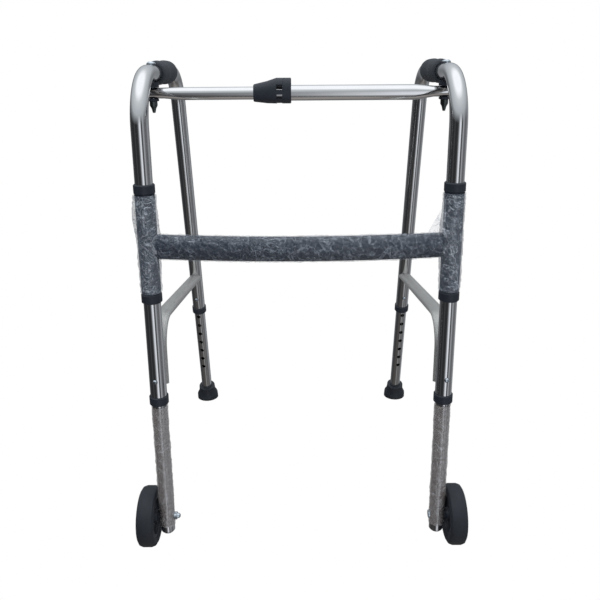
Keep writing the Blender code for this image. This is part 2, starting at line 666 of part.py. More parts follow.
def build_pivot_nut(side, pin, parent, looks):
    """A washer and a pointed nut below the crossbar. The right nut carries the stud of its open joint."""
    bm = turned(ring_profile(PIN_HOLE_RADIUS, PIVOT_WASHER_RADIUS, PIVOT_WASHER_TOP - PIVOT_WASHER_HEIGHT,
                             PIVOT_WASHER_TOP, 0.001), 16)
    add_object(f"{side}_pivot_washer", bm, looks["black_plastic"], parent, Matrix.Translation(pin))
    hexagon = PIVOT_NUT_HEIGHT * 0.35
    profile = [
        (0, PIVOT_NUT_TOP - PIVOT_NUT_HEIGHT), (PIVOT_NUT_RADIUS * 0.35, PIVOT_NUT_TOP - PIVOT_NUT_HEIGHT * 0.97),
        (PIVOT_NUT_RADIUS * 0.6, PIVOT_NUT_TOP - PIVOT_NUT_HEIGHT * 0.6),
        (PIVOT_NUT_RADIUS, PIVOT_NUT_TOP - hexagon), (PIVOT_NUT_RADIUS, PIVOT_NUT_TOP),
    ]
    if side == "right":
        profile += [(PIN_RADIUS, PIVOT_NUT_TOP), (PIN_RADIUS, BAR_END_TOP), (0, BAR_END_TOP)]
    else:
        profile.append((0, PIVOT_NUT_TOP))
    add_object(f"{side}_pivot_nut", turned(profile, 12), looks["steel"], parent, Matrix.Translation(pin))


def lock_body(stations):
    """A solid loft along X through (x, (top, bottom, half width)) with rounded-square sections."""
    bm = bmesh.new()
    rings = [[bm.verts.new((stations[0][0], 0, BAR_HEIGHT))]]
    for x, (top, bottom, half_width) in stations:
        ring = []
        for k in range(LOCK_SIDES):
            angle = 2 * math.pi * k / LOCK_SIDES
            across, up = math.cos(angle), math.sin(angle)
            square = (abs(across) ** 2.6 + abs(up) ** 2.6) ** (-1 / 2.6)
            rise = top if up > 0 else bottom
            ring.append(bm.verts.new((x, half_width * across * square, BAR_HEIGHT + rise * up * square)))
        rings.append(ring)
    rings.append([bm.verts.new((stations[-1][0], 0, BAR_HEIGHT))])
    join_rings(bm, rings, closed=False)
    return bm


def eased(sizes):
    return tuple(size - LOCK_EDGE for size in sizes)


def build_lock(parent, looks):
    """A plastic housing round the joint of the two tubes, with windows in front and a slot below, and
    a separate sprung ring at its end."""
    on_inner = INNER_BAR_RADIUS + SLIDE_GAP
    on_outer = OUTER_BAR_RADIUS + SEAT_GAP
    step = OUTER_BAR_START - SEAT_GAP
    to_bar = along((0, 0, BAR_HEIGHT), (1, 0, 0))
    middle = LOCK_START + 0.6 * (LOCK_SHOULDER - LOCK_START)
    bm = lock_body([
        (LOCK_START, eased(LOCK_NECK)), (LOCK_START + LOCK_EDGE, LOCK_NECK), (middle, LOCK_MIDDLE),
        (LOCK_SHOULDER, LOCK_BLOCK), (LOCK_END, LOCK_BLOCK),
    ])
    lock = add_object("lock_housing", bm, looks["black_plastic"], parent)
    bore = turned([
        (0, LOCK_START - 0.01), (on_inner, LOCK_START - 0.01), (on_inner, step), (on_outer, step),
        (on_outer, LOCK_END + 0.01), (0, LOCK_END + 0.01),
    ], TUBE_SIDES)
    cut(lock, add_object("cut_lock_bore", bore, None, parent, to_bar))
    window_length = LOCK_END - LOCK_SHOULDER
    windows = []
    for degrees, half_width in zip(WINDOW_DEGREES, WINDOW_HALF_WIDTHS):
        low, high = OUTER_BAR_RADIUS - 0.002, 2 * LOCK_BLOCK[0]
        bm = box((LOCK_SHOULDER + 0.0004, -half_width, low), (LOCK_SHOULDER + window_length - 0.0012, half_width, high))
        turn = Matrix.Rotation(math.radians(90 - degrees), 4, "X")
        bmesh.ops.transform(bm, matrix=Matrix.Translation((0, 0, BAR_HEIGHT)) @ turn, verts=bm.verts)
        windows.append(bm)
    cut(lock, add_object("cut_lock_windows", merge(windows), None, parent))

    bm = lock_body([
        (LOCK_END + SEAT_GAP, LOCK_BLOCK), (LOCK_RING_END - LOCK_EDGE, LOCK_BLOCK),
        (LOCK_RING_END, eased(LOCK_BLOCK)),
    ])
    ring = add_object("lock_ring", bm, looks["black_plastic"], parent)
    bore = rod(OUTER_BAR_RADIUS + SLIDE_GAP, (LOCK_END - 0.01, 0, BAR_HEIGHT),
               (LOCK_RING_END + 0.01, 0, BAR_HEIGHT), TUBE_SIDES)
    cut(ring, add_object("cut_lock_ring", bore, None, parent))


def build_crossbar(root, looks):
    """The inner tube turns on the left pin, and the outer tube slides over it."""
    parent = empty("left_pin_axis", (-HALF_SPACING, PIN_REACH, 0), root)
    telescopic_tube("crossbar_inner_tube", 0, HALF_SPACING + INNER_BAR_NOSE, INNER_BAR_RADIUS,
                    INNER_BAR_WALL, parent, looks)
    build_pivot_nut("left", Vector((0, 0, 0)), parent, looks)
    middle = empty("crossbar_middle", (HALF_SPACING, 0, 0), parent)
    telescopic_tube("crossbar_outer_tube", HALF_SPACING, OUTER_BAR_START, OUTER_BAR_RADIUS,
                    OUTER_BAR_WALL, middle, looks)
    build_pivot_nut("right", Vector((HALF_SPACING, 0, 0)), middle, looks)
    bm = turned(ring_profile(INNER_BAR_RADIUS + SEAT_GAP, OUTER_BAR_RADIUS - OUTER_BAR_WALL - SEAT_GAP,
                             BUSH_START, BUSH_START + BUSH_LENGTH), TUBE_SIDES)
    add_object("crossbar_guide_bush", bm, looks["steel"], middle, along((0, 0, BAR_HEIGHT), (1, 0, 0)))
    build_lock(middle, looks)


def main():
    clear_scene()
    looks = {
        "chrome": material("chrome_tube", (0.55, 0.53, 0.51), 0.18, 1.0),
        "grey": material("grey_tube", (0.46, 0.46, 0.45), 0.45, 0.8),
        "black_paint": material("black_paint", (0.030, 0.031, 0.035), 0.40, 0.0),
        "black_plastic": material("black_plastic", (0.018, 0.018, 0.020), 0.45, 0.0),
        "foam": material("grip_foam", (0.040, 0.040, 0.043), 0.85, 0.0),
        "rubber": material("rubber", (0.025, 0.026, 0.030), 0.75, 0.0),
        "steel": material("zinc_steel", (0.62, 0.66, 0.70), 0.30, 1.0),
    }
    root = empty("walking_frame", (0, FRONT_Y, 0))
    build_front_frame(root, looks)
    for side, sign in SIDES:
        build_side(side, sign, root, looks)
    build_crossbar(root, looks)


main()
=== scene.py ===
import json
import math

import bmesh
import bpy
from mathutils import Matrix, Vector, noise


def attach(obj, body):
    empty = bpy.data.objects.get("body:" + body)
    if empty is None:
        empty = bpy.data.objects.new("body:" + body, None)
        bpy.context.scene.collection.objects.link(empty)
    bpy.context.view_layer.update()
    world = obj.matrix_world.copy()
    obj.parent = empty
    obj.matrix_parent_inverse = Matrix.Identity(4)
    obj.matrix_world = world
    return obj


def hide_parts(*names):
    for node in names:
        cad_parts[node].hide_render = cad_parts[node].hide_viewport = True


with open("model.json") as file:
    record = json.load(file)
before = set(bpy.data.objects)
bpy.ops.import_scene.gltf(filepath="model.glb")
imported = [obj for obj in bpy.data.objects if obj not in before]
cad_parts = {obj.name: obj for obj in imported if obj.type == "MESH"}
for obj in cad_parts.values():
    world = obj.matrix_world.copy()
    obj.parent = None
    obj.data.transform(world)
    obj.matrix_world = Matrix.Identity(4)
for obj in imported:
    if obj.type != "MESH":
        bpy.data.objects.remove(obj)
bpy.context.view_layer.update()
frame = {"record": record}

# Overall shape
POST_SPACING = 0.484  # between the axes of the two front posts
HANDLE_HEIGHT = 0.820  # axis of the handle tubes
REAR_FOOT_REACH = 0.5415  # middle of a rear foot, on the floor
REAR_LEG_SLOPE = 0.2608  # how far a rear leg comes forward for each metre that it rises

# Gaps between pieces
SEAT_GAP = 0.0003  # pieces that are fixed to each other
SLIDE_GAP = 0.0005  # pieces that turn or slide on each other

# Side frames
TUBE_RADIUS = 0.0140
TUBE_WALL = 0.0013
TUBE_BEND_RADIUS = 0.080
BEND_STEPS = 28
TUBE_SIDES = 64
BORE_RADIUS = TUBE_RADIUS - TUBE_WALL

# Sides of the other round pieces and of the holes
FLAT_TUBE_SIDES = 48
WASHER_SIDES = 48
PIN_SIDES = 40
HOLE_SIDES = 32
LEG_HOLE_SIDES = 28

# Braces of the side frames: flat-sided tubes that end in a downward bend behind the post
BRACE_HALF_WIDTH = 0.0135
BRACE_HALF_HEIGHT = 0.0085
BRACE_REAR_HEIGHT = HANDLE_HEIGHT - 0.463
BRACE_FRONT_HEIGHT = HANDLE_HEIGHT - 0.401
BRACE_BEND_RADIUS = 0.045
BRACE_FOOT_HEIGHT = HANDLE_HEIGHT - 0.515
BRACE_FLAT_HALF_WIDTH = 0.0148  # where the tube is flattened against the post
BRACE_FLAT_HALF_HEIGHT = 0.0055
BRACE_WALL = 0.0015

# Hand grips
GRIP_START = 0.129
GRIP_LENGTH = 0.110
GRIP_RADIUS = 0.0190
GRIP_SWELL = 0.0014  # how much the palm bulge and the rear rim stand out

# Front frame: two hinge sleeves and the lower crossbar
SLEEVE_BOTTOM = HANDLE_HEIGHT - 0.3432
SLEEVE_LENGTH = 0.1630
SLEEVE_WALL = 0.0012
SLEEVE_BORE = TUBE_RADIUS + SLIDE_GAP
SLEEVE_RADIUS = SLEEVE_BORE + SLEEVE_WALL
COLLAR_WALL = 0.0025
COLLAR_RADIUS = TUBE_RADIUS + SEAT_GAP + COLLAR_WALL
COLLAR_LENGTH = 0.0155
COLLAR_EDGE = 0.0015
LOWER_BAR_HEIGHT = HANDLE_HEIGHT - 0.265
LOWER_BAR_HALF_HEIGHT = 0.0200
LOWER_BAR_HALF_DEPTH = 0.0100
LOWER_BAR_WALL = 0.0015
LOWER_BAR_BOW = 0.022  # how far its middle stands forward of its ends

# Leg extensions, which slide in the lower ends of the side tubes
LEG_RADIUS = BORE_RADIUS - SLIDE_GAP
LEG_WALL = 0.0013
HOLE_PITCH = 0.0254
HOLE_RADIUS = 0.0045
FRONT_HOLES = (6, 0)  # above and below the button: the front legs are at their shortest
REAR_HOLES_ABOVE = 1
REAR_LOWEST_HOLE = 0.090  # the row stops at least this far up from the leg's end
LEG_PAST_LAST_HOLE = 0.020  # how far a leg reaches up past its highest hole
LEG_LEAST_ENGAGEMENT = 0.085
BUTTON_RADIUS = 0.0040
BUTTON_STANDOFF = 0.0030
BUTTON_YAW = math.radians(8)  # the buttons face forwards and this much outwards
FRONT_BUTTON_HEIGHT = HANDLE_HEIGHT - 0.497
REAR_BUTTON_HEIGHT = HANDLE_HEIGHT - 0.5165
FRONT_RING_BOTTOM = HANDLE_HEIGHT - 0.5425
REAR_RING_BOTTOM = HANDLE_HEIGHT - 0.557
RING_LENGTH = 0.0155
RING_LIP = 0.0045  # the part of the ring that grips the leg, below the tube's end
RING_WALL = 0.0018

# Wheels and axles
WHEEL_RADIUS = 0.0520
WHEEL_WIDTH = 0.030
WHEEL_SIDES = 96
RIM_RADIUS = 0.037
RIM_HALF_WIDTH = 0.0125
HUB_RECESS = 0.0070  # depth of the outer hollow that holds the axle bolt's head
AXLE_RADIUS = 0.0040
LEG_BELOW_AXLE = 0.027
WASHER_THICKNESS = 0.0032
WASHER_RADIUS = 0.0095
HEAD_RADIUS = 0.0068
HEAD_THICKNESS = 0.0050
LEFT_NUT_LENGTH = 0.0110  # a domed nut
RIGHT_NUT_LENGTH = 0.0030  # a thin nut
PLUG_FLANGE = 0.0035
PLUG_SPIGOT = 0.0100

# Rubber feet
FOOT_HEIGHT = 0.038
FOOT_BASE_RADIUS = 0.026
FOOT_TOP_RADIUS = 0.0200
FOOT_FLOOR = 0.012  # rubber under the end of the leg

# Telescopic top crossbar
PIN_REACH = 0.110  # pivot bolts
OUTER_BAR_RADIUS = 0.0127
OUTER_BAR_WALL = 0.0011
INNER_BAR_RADIUS = 0.0105
INNER_BAR_WALL = 0.0012
BAR_HEIGHT = HANDLE_HEIGHT - 0.033
BAR_PAST_PIN = 0.014
BAR_END_HALF_HEIGHT = 0.0088  # the squashed ends
BAR_END_SPREAD = 0.0008  # how much wider the squashed end is, each side
BAR_SQUASH_START = 0.050  # from the pin
BAR_SQUASH_END = 0.018
OUTER_BAR_START = -0.040
INNER_BAR_NOSE = 0.045
BUSH_START = -0.015
BUSH_LENGTH = 0.058

# Pivot bolts through the handles
PIN_RADIUS = 0.0030
PIN_HOLE_RADIUS = 0.0036
PIN_HEAD_RADIUS = 0.0075
PIN_HEAD_HEIGHT = 0.0042
SPACER_RADIUS = 0.0105
SPACER_HEIGHT = 0.0085
PIVOT_WASHER_RADIUS = 0.0095
PIVOT_WASHER_HEIGHT = 0.0040
PIVOT_NUT_RADIUS = 0.0065
PIVOT_NUT_HEIGHT = 0.0190

# Lock of the top crossbar. Its top stands further from the bar than its bottom.
LOCK_START = -0.075
LOCK_SHOULDER = -0.0372  # where the windows start
LOCK_END = -0.0262
LOCK_RING_END = -0.0128
LOCK_NECK = (0.0145, 0.0140, 0.0145)  # top and bottom above and below the bar's axis, and half width
LOCK_MIDDLE = (0.0195, 0.0165, 0.0170)
LOCK_BLOCK = (0.0245, 0.0170, 0.0185)
LOCK_EDGE = 0.0010
LOCK_SIDES = 96
SQUARENESS = 2.6  # power of the section's outline, where 2 is an ellipse
WINDOW_DEGREES = (-90, -18, 30)  # the middles of the windows, from the front upwards
WINDOW_HALF_WIDTHS = (0.0095, 0.0040, 0.0040)

LEAN = math.atan(REAR_LEG_SLOPE)
FRONT_Y = (WHEEL_RADIUS - REAR_FOOT_REACH - FOOT_BASE_RADIUS) / 2  # centres the object
HALF_SPACING = POST_SPACING / 2
WHEEL_INNER_FACE = LEG_RADIUS + SEAT_GAP + WASHER_THICKNESS + SLIDE_GAP
SPACER_TOP = HANDLE_HEIGHT - TUBE_RADIUS - SEAT_GAP
SPACER_BOTTOM = SPACER_TOP - SPACER_HEIGHT
BAR_END_TOP = SPACER_BOTTOM - SEAT_GAP
BAR_END_HEIGHT = BAR_END_TOP - BAR_END_HALF_HEIGHT
PIVOT_WASHER_TOP = BAR_END_HEIGHT - BAR_END_HALF_HEIGHT - SEAT_GAP
PIVOT_NUT_TOP = PIVOT_WASHER_TOP - PIVOT_WASHER_HEIGHT - SEAT_GAP
SIDES = (("left", -1), ("right", 1))


# Shapes

SHARP_ANGLE = math.radians(32)
MADE = []  # each piece's CAD node and its object


def smooth(mesh):
    mesh.shade_smooth()
    mesh.set_sharp_from_angle(angle=SHARP_ANGLE)


def add_object(name, bm, look, parent, matrix=None):
    """An object from a bmesh, with its normals outwards. matrix puts it in the coordinates of parent,
    which is itself a matrix. A piece without a look is a cutter."""
    if matrix:
        bmesh.ops.transform(bm, matrix=matrix, verts=bm.verts)
    bmesh.ops.transform(bm, matrix=parent, verts=bm.verts)
    bmesh.ops.recalc_face_normals(bm, faces=bm.faces)
    mesh = bpy.data.meshes.new(name + "_skin")
    bm.to_mesh(mesh)
    bm.free()
    smooth(mesh)
    made = bpy.data.objects.new(name + "_skin", mesh)
    bpy.context.scene.collection.objects.link(made)
    if look:
        mesh.materials.append(look)
        MADE.append((name, made))
    return made


def cut(target, cutter):
    """Cuts at once, so that no helper object is left."""
    modifier = target.modifiers.new(cutter.name, "BOOLEAN")
    modifier.object = cutter
    bpy.context.view_layer.update()
    graph = bpy.context.evaluated_depsgraph_get()
    mesh = bpy.data.meshes.new_from_object(target.evaluated_get(graph))
    target.modifiers.clear()
    target.data = mesh
    smooth(mesh)
    bpy.data.objects.remove(cutter, do_unlink=True)


def along(point, direction):
    """The matrix that puts +Z along direction and the origin at point."""
    return Matrix.Translation(point) @ Vector(direction).to_track_quat("Z", "Y").to_matrix().to_4x4()


def join_rings(bm, rings, closed):
    """Faces between each ring and the next. A ring of one point closes an end."""
    pairs = list(zip(rings, rings[1:]))
    if closed:
        pairs.append((rings[-1], rings[0]))
    for low, high in pairs:
        count = max(len(low), len(high))
        for i in range(count):
            j = (i + 1) % count
            corners = [low[i % len(low)], low[j % len(low)], high[j % len(high)], high[i % len(high)]]
            bm.faces.new(list(dict.fromkeys(corners)))


def turned(profile, sides, flats=False):
    """A profile of (radius, height) turned round Z. A profile that starts and ends on the axis
    gives a solid, and any other is closed into a ring. With flats, the radius is to the middle
    of a side instead of to a corner."""
    bm = bmesh.new()
    scale = 1 / math.cos(math.pi / sides) if flats else 1
    turn = 0.5 if flats else 0
    rings = []
    for radius, height in profile:
        if radius == 0:
            rings.append([bm.verts.new((0, 0, height))])
            continue
        angles = [2 * math.pi * (i + turn) / sides for i in range(sides)]
        reach = radius * scale
        rings.append([bm.verts.new((reach * math.cos(a), reach * math.sin(a), height)) for a in angles])
    join_rings(bm, rings, closed=profile[0][0] != 0)
    return bm


def ring_profile(bore, radius, bottom, top, edge=0.0):
    """A tube's profile, with its outer edges cut off at 45 degrees."""
    if not edge:
        return [(bore, bottom), (radius, bottom), (radius, top), (bore, top)]
    return [
        (bore, bottom), (radius - edge, bottom), (radius, bottom + edge),
        (radius, top - edge), (radius - edge, top), (bore, top),
    ]


def rod(radius, start, end, sides=HOLE_SIDES):
    """A plain cylinder between two points, for pins and for cutting holes."""
    start, end = Vector(start), Vector(end)
    bm = turned([(0, 0), (radius, 0), (radius, (end - start).length), (0, (end - start).length)], sides)
    bmesh.ops.transform(bm, matrix=along(start, end - start), verts=bm.verts)
    return bm


def merge(parts):
    """One bmesh from several that don't touch."""
    whole = bmesh.new()
    for part in parts:
        mesh = bpy.data.meshes.new("part")
        part.to_mesh(mesh)
        part.free()
        whole.from_mesh(mesh)
        bpy.data.meshes.remove(mesh)
    return whole


def box(low, high):
    bm = bmesh.new()
    bmesh.ops.create_cube(bm, size=1)
    middle = (Vector(low) + Vector(high)) / 2
    size = Vector(high) - Vector(low)
    bmesh.ops.transform(bm, matrix=Matrix.Translation(middle) @ Matrix.Diagonal((*size, 1)), verts=bm.verts)
    return bm


def rounded_path(corners, radius, steps):
    """Stations (point, direction) along a line through 2-D corners, with arcs of one radius."""
    corners = [Vector(corner) for corner in corners]
    first = (corners[1] - corners[0]).normalized()
    stations = [(corners[0], first)]
    for before, corner, after in zip(corners, corners[1:], corners[2:]):
        come, leave = (corner - before).normalized(), (after - corner).normalized()
        turn = come.angle_signed(leave)
        setback = radius * math.tan(abs(turn) / 2)
        for i in range(steps + 1):
            swept = abs(turn) * i / steps
            aside = (leave - come * math.cos(turn)) / abs(math.sin(turn))
            arc = come * math.sin(swept) + aside * (1 - math.cos(swept))
            direction = come * math.cos(swept) + aside * math.sin(swept)
            stations.append((corner - come * setback + radius * arc, direction))
    stations.append((corners[-1], (corners[-1] - corners[-2]).normalized()))
    return stations


def swept_tube(stations, place, across, section, wall, sides):
    """A hollow tube along planar stations. place maps a 2-D point or direction into 3-D, across is
    the direction square to the plane, and section(i) gives the half sizes across and in the plane."""
    bm = bmesh.new()
    across = Vector(across)
    skins = []
    for shrink in (0, wall):
        rings = []
        for i, (point, direction) in enumerate(stations):
            half_across, half_in = (size - shrink for size in section(i))
            middle = Vector(place(point))
            tangent = Vector(place(direction)) - Vector(place((0, 0)))
            inward = across.cross(tangent).normalized()
            ring = []
            for k in range(sides):
                angle = 2 * math.pi * k / sides
                offset = across * half_across * math.cos(angle) + inward * half_in * math.sin(angle)
                ring.append(bm.verts.new(middle + offset))
            rings.append(ring)
        skins.append(rings)
    outer, inner = skins
    join_rings(bm, outer + inner[::-1], closed=True)
    return bm


def in_side_plane(point):
    """A (Y, Z) point of a side frame's plane."""
    return (0, point[0], point[1])


def rear_leg_point(height):
    return (0, REAR_FOOT_REACH - REAR_LEG_SLOPE * height, height)


UP_REAR_LEG = Vector((0, -math.sin(LEAN), math.cos(LEAN)))
UP = Vector((0, 0, 1))


# Front frame

def build_front_frame(root, looks):
    for side, sign in SIDES:
        bm = turned(ring_profile(SLEEVE_BORE, SLEEVE_RADIUS, 0, SLEEVE_LENGTH), TUBE_SIDES)
        post = Vector((sign * HALF_SPACING, 0, 0))
        add_object(f"{side}_hinge_sleeve", bm, looks["black_paint"], root,
                   Matrix.Translation(post + UP * SLEEVE_BOTTOM))

    steps = 40
    bow_radius = (HALF_SPACING**2 + LOWER_BAR_BOW**2) / (2 * LOWER_BAR_BOW)
    half_angle = math.asin(HALF_SPACING / bow_radius)
    stations = []
    for i in range(steps + 1):
        angle = half_angle * (2 * i / steps - 1)
        point = (bow_radius * math.sin(angle), bow_radius * (math.cos(half_angle) - math.cos(angle)))
        stations.append((point, (math.cos(angle), math.sin(angle))))
    bm = swept_tube(stations, lambda p: (p[0], p[1], LOWER_BAR_HEIGHT), UP,
                    lambda i: (LOWER_BAR_HALF_HEIGHT, LOWER_BAR_HALF_DEPTH), LOWER_BAR_WALL,
                    FLAT_TUBE_SIDES)
    bar = add_object("lower_crossbar", bm, looks["black_paint"], root)
    for side, sign in SIDES:
        post = Vector((sign * HALF_SPACING, 0, 0))
        cope = rod(SLEEVE_RADIUS + SEAT_GAP, post + UP * SLEEVE_BOTTOM,
                   post + UP * (SLEEVE_BOTTOM + SLEEVE_LENGTH), TUBE_SIDES)
        cut(bar, add_object(f"cut_{side}_cope", cope, None, root))


# Side frames

def side_tube_stations():
    lower_front = (0, FRONT_RING_BOTTOM + RING_LIP + SEAT_GAP)
    rear_corner = (rear_leg_point(HANDLE_HEIGHT)[1], HANDLE_HEIGHT)
    rear_end = Vector(rear_leg_point(REAR_RING_BOTTOM)) + UP_REAR_LEG * (RING_LIP + SEAT_GAP)
    corners = [lower_front, (0, HANDLE_HEIGHT), rear_corner, (rear_end.y, rear_end.z)]
    return rounded_path(corners, TUBE_BEND_RADIUS, BEND_STEPS)


def button_direction(sign, up):
    """Forwards and a little outwards, square to the leg."""
    forwards = Vector((sign * math.sin(BUTTON_YAW), -math.cos(BUTTON_YAW), 0))
    return (forwards - up * forwards.dot(up)).normalized()


def build_side_tube(side, sign, parent, looks):
    stations = side_tube_stations()
    bm = swept_tube(stations, in_side_plane, (1, 0, 0), lambda i: (TUBE_RADIUS, TUBE_RADIUS),
                    TUBE_WALL, TUBE_SIDES)
    tube = add_object(f"{side}_side_tube", bm, looks["chrome"], parent)
    pin = Vector((0, PIN_REACH, HANDLE_HEIGHT))
    holes = [rod(PIN_HOLE_RADIUS, pin - UP * 2 * TUBE_RADIUS, pin + UP * 2 * TUBE_RADIUS)]
    for point, up in leg_buttons():
        out = button_direction(sign, up)
        inner, outer = point + out * LEG_RADIUS / 2, point + out * 2 * TUBE_RADIUS
        holes.append(rod(BUTTON_RADIUS + SLIDE_GAP, inner, outer))
    cut(tube, add_object(f"cut_{side}_side_tube", merge(holes), None, parent))


def leg_buttons():
    """The point on the leg's axis and the leg's direction, for the front and the rear button."""
    yield Vector((0, 0, FRONT_BUTTON_HEIGHT)), UP
    yield Vector(rear_leg_point(REAR_BUTTON_HEIGHT)), UP_REAR_LEG


def build_brace(side, parent, looks):
    """From the rear leg forwards, then down behind the post, where it is flattened."""
    flat_y = TUBE_RADIUS + SEAT_GAP + BRACE_FLAT_HALF_HEIGHT
    rear = rear_leg_point(BRACE_REAR_HEIGHT)
    corners = [(rear[1], rear[2]), (flat_y, BRACE_FRONT_HEIGHT), (flat_y, BRACE_FOOT_HEIGHT)]
    path = rounded_path(corners, BRACE_BEND_RADIUS, BEND_STEPS)
    # One more station where the flattening starts, this far behind the bend.
    flatten_length = 0.060
    bend_start, direction = path[1]
    path.insert(1, (bend_start - direction * flatten_length, direction))

    def section(i):
        if i < 2:
            return BRACE_HALF_WIDTH, BRACE_HALF_HEIGHT
        return BRACE_FLAT_HALF_WIDTH, BRACE_FLAT_HALF_HEIGHT

    bm = swept_tube(path, in_side_plane, (1, 0, 0), section, BRACE_WALL, FLAT_TUBE_SIDES)
    brace = add_object(f"{side}_side_brace", bm, looks["grey"], parent)
    leg = Vector(rear)
    reach = UP_REAR_LEG * 0.060
    cope = rod(TUBE_RADIUS + SEAT_GAP, leg - reach, leg + reach, TUBE_SIDES)
    cut(brace, add_object(f"cut_{side}_side_brace", cope, None, parent))


def build_grip(side, parent, looks):
    bore = TUBE_RADIUS + SEAT_GAP
    steps = 40
    profile = [(bore, 0)]
    for i in range(steps + 1):
        share = i / steps
        bulge = GRIP_SWELL * (0.5 - 0.5 * math.cos(4 * math.pi * share)) + GRIP_SWELL * share**4
        edge = 0.0025 if i in (0, steps) else 0
        profile.append((GRIP_RADIUS + bulge - edge, GRIP_LENGTH * share))
    profile.append((bore, GRIP_LENGTH))
    place = along((0, GRIP_START, HANDLE_HEIGHT), (0, 1, 0))
    add_object(f"{side}_hand_grip", turned(profile, TUBE_SIDES), looks["foam"], parent, place)


def build_collars(side, parent, looks):
    """Two collars fixed on the post, which hold the hinge sleeve between them."""
    bore = TUBE_RADIUS + SEAT_GAP
    collars = {
        "upper": SLEEVE_BOTTOM + SLEEVE_LENGTH + SEAT_GAP,
        "lower": SLEEVE_BOTTOM - SEAT_GAP - COLLAR_LENGTH,
    }
    for which, bottom in collars.items():
        bm = turned(ring_profile(bore, COLLAR_RADIUS, 0, COLLAR_LENGTH, COLLAR_EDGE), TUBE_SIDES)
        add_object(f"{side}_{which}_hinge_collar", bm, looks["black_plastic"], parent,
                   Matrix.Translation(UP * bottom))


def build_leg_ring(side, which, foot, up, parent, looks):
    """A stepped plastic ring on the tube's end, whose lip guides the leg."""
    radius = TUBE_RADIUS + SEAT_GAP + RING_WALL
    edge = 0.0012
    profile = [
        (LEG_RADIUS + SLIDE_GAP, 0), (radius - edge, 0), (radius, edge), (radius, RING_LENGTH - edge),
        (radius - edge, RING_LENGTH), (TUBE_RADIUS + SEAT_GAP, RING_LENGTH),
        (TUBE_RADIUS + SEAT_GAP, RING_LIP), (LEG_RADIUS + SLIDE_GAP, RING_LIP),
    ]
    add_object(f"{side}_{which}_leg_ring", turned(profile, TUBE_SIDES), looks["black_plastic"],
               parent, along(foot, up))


def build_button(side, sign, which, point, up, parent, looks):
    """A round-nosed pin in the tube's hole. It is pressed in along its own axis."""
    inner, outer = LEG_RADIUS + SLIDE_GAP * 0.8, TUBE_RADIUS + BUTTON_STANDOFF
    nose = BUTTON_RADIUS * 0.6
    profile = [
        (0, inner), (BUTTON_RADIUS, inner), (BUTTON_RADIUS, outer - nose),
        (BUTTON_RADIUS * 0.7, outer - nose * 0.3), (0, outer),
    ]
    add_object(f"{side}_{which}_leg_button", turned(profile, PIN_SIDES), looks["steel"], parent,
               along(point, button_direction(sign, up)))


def build_pivot_bolt(side, parent, looks):
    """The bolt through the handle. On the left it holds the crossbar and its nut. On the right the
    crossbar's joint is the open one, so the bolt ends at the spacer."""
    head_bottom = HANDLE_HEIGHT + TUBE_RADIUS + SEAT_GAP
    foot = PIVOT_NUT_TOP + SEAT_GAP if side == "left" else SPACER_BOTTOM
    pin = Vector((0, PIN_REACH, 0))
    profile = [
        (0, foot), (PIN_RADIUS, foot), (PIN_RADIUS, head_bottom), (PIN_HEAD_RADIUS, head_bottom),
        (PIN_HEAD_RADIUS, head_bottom + PIN_HEAD_HEIGHT * 0.4),
        (PIN_HEAD_RADIUS * 0.6, head_bottom + PIN_HEAD_HEIGHT), (0, head_bottom + PIN_HEAD_HEIGHT),
    ]
    add_object(f"{side}_pivot_bolt", turned(profile, PIN_SIDES), looks["steel"], parent,
               Matrix.Translation(pin))
    bm = turned(ring_profile(PIN_HOLE_RADIUS, SPACER_RADIUS, SPACER_BOTTOM, SPACER_TOP), WASHER_SIDES)
    add_object(f"{side}_pivot_spacer", bm, looks["black_plastic"], parent, Matrix.Translation(pin))


def build_side(side, sign, root, looks):
    parent = root @ Matrix.Translation((sign * HALF_SPACING, 0, 0))
    build_side_tube(side, sign, parent, looks)
    build_brace(side, parent, looks)
    build_grip(side, parent, looks)
    build_collars(side, parent, looks)
    build_leg_ring(side, "front", (0, 0, FRONT_RING_BOTTOM), UP, parent, looks)
    build_leg_ring(side, "rear", rear_leg_point(REAR_RING_BOTTOM), UP_REAR_LEG, parent, looks)
    for which, (point, up) in zip(("front", "rear"), leg_buttons()):
        build_button(side, sign, which, point, up, parent, looks)
    build_pivot_bolt(side, parent, looks)
    build_front_leg(side, sign, parent, looks)
    build_rear_leg(side, sign, parent, looks)
    build_wheel(side, sign, parent, looks)


# Legs

def leg_tube(name, foot, button, up, sign, holes_each_way, parent, looks):
    """A leg from its lower end up past its button, with a row of holes at one pitch."""
    above, below = holes_each_way
    past_button = max(LEG_LEAST_ENGAGEMENT, above * HOLE_PITCH + LEG_PAST_LAST_HOLE)
    length = (button - foot).dot(up) + past_button
    bm = turned(ring_profile(LEG_RADIUS - LEG_WALL, LEG_RADIUS, 0, length), TUBE_SIDES)
    leg = add_object(name, bm, looks["chrome"], parent, along(foot, up))
    out = button_direction(sign, up)
    holes = []
    for i in range(-above, below + 1):
        middle = button - up * HOLE_PITCH * i
        holes.append(rod(HOLE_RADIUS, middle + out * LEG_RADIUS / 3, middle + out * 2 * LEG_RADIUS,
                         LEG_HOLE_SIDES))
    return leg, holes


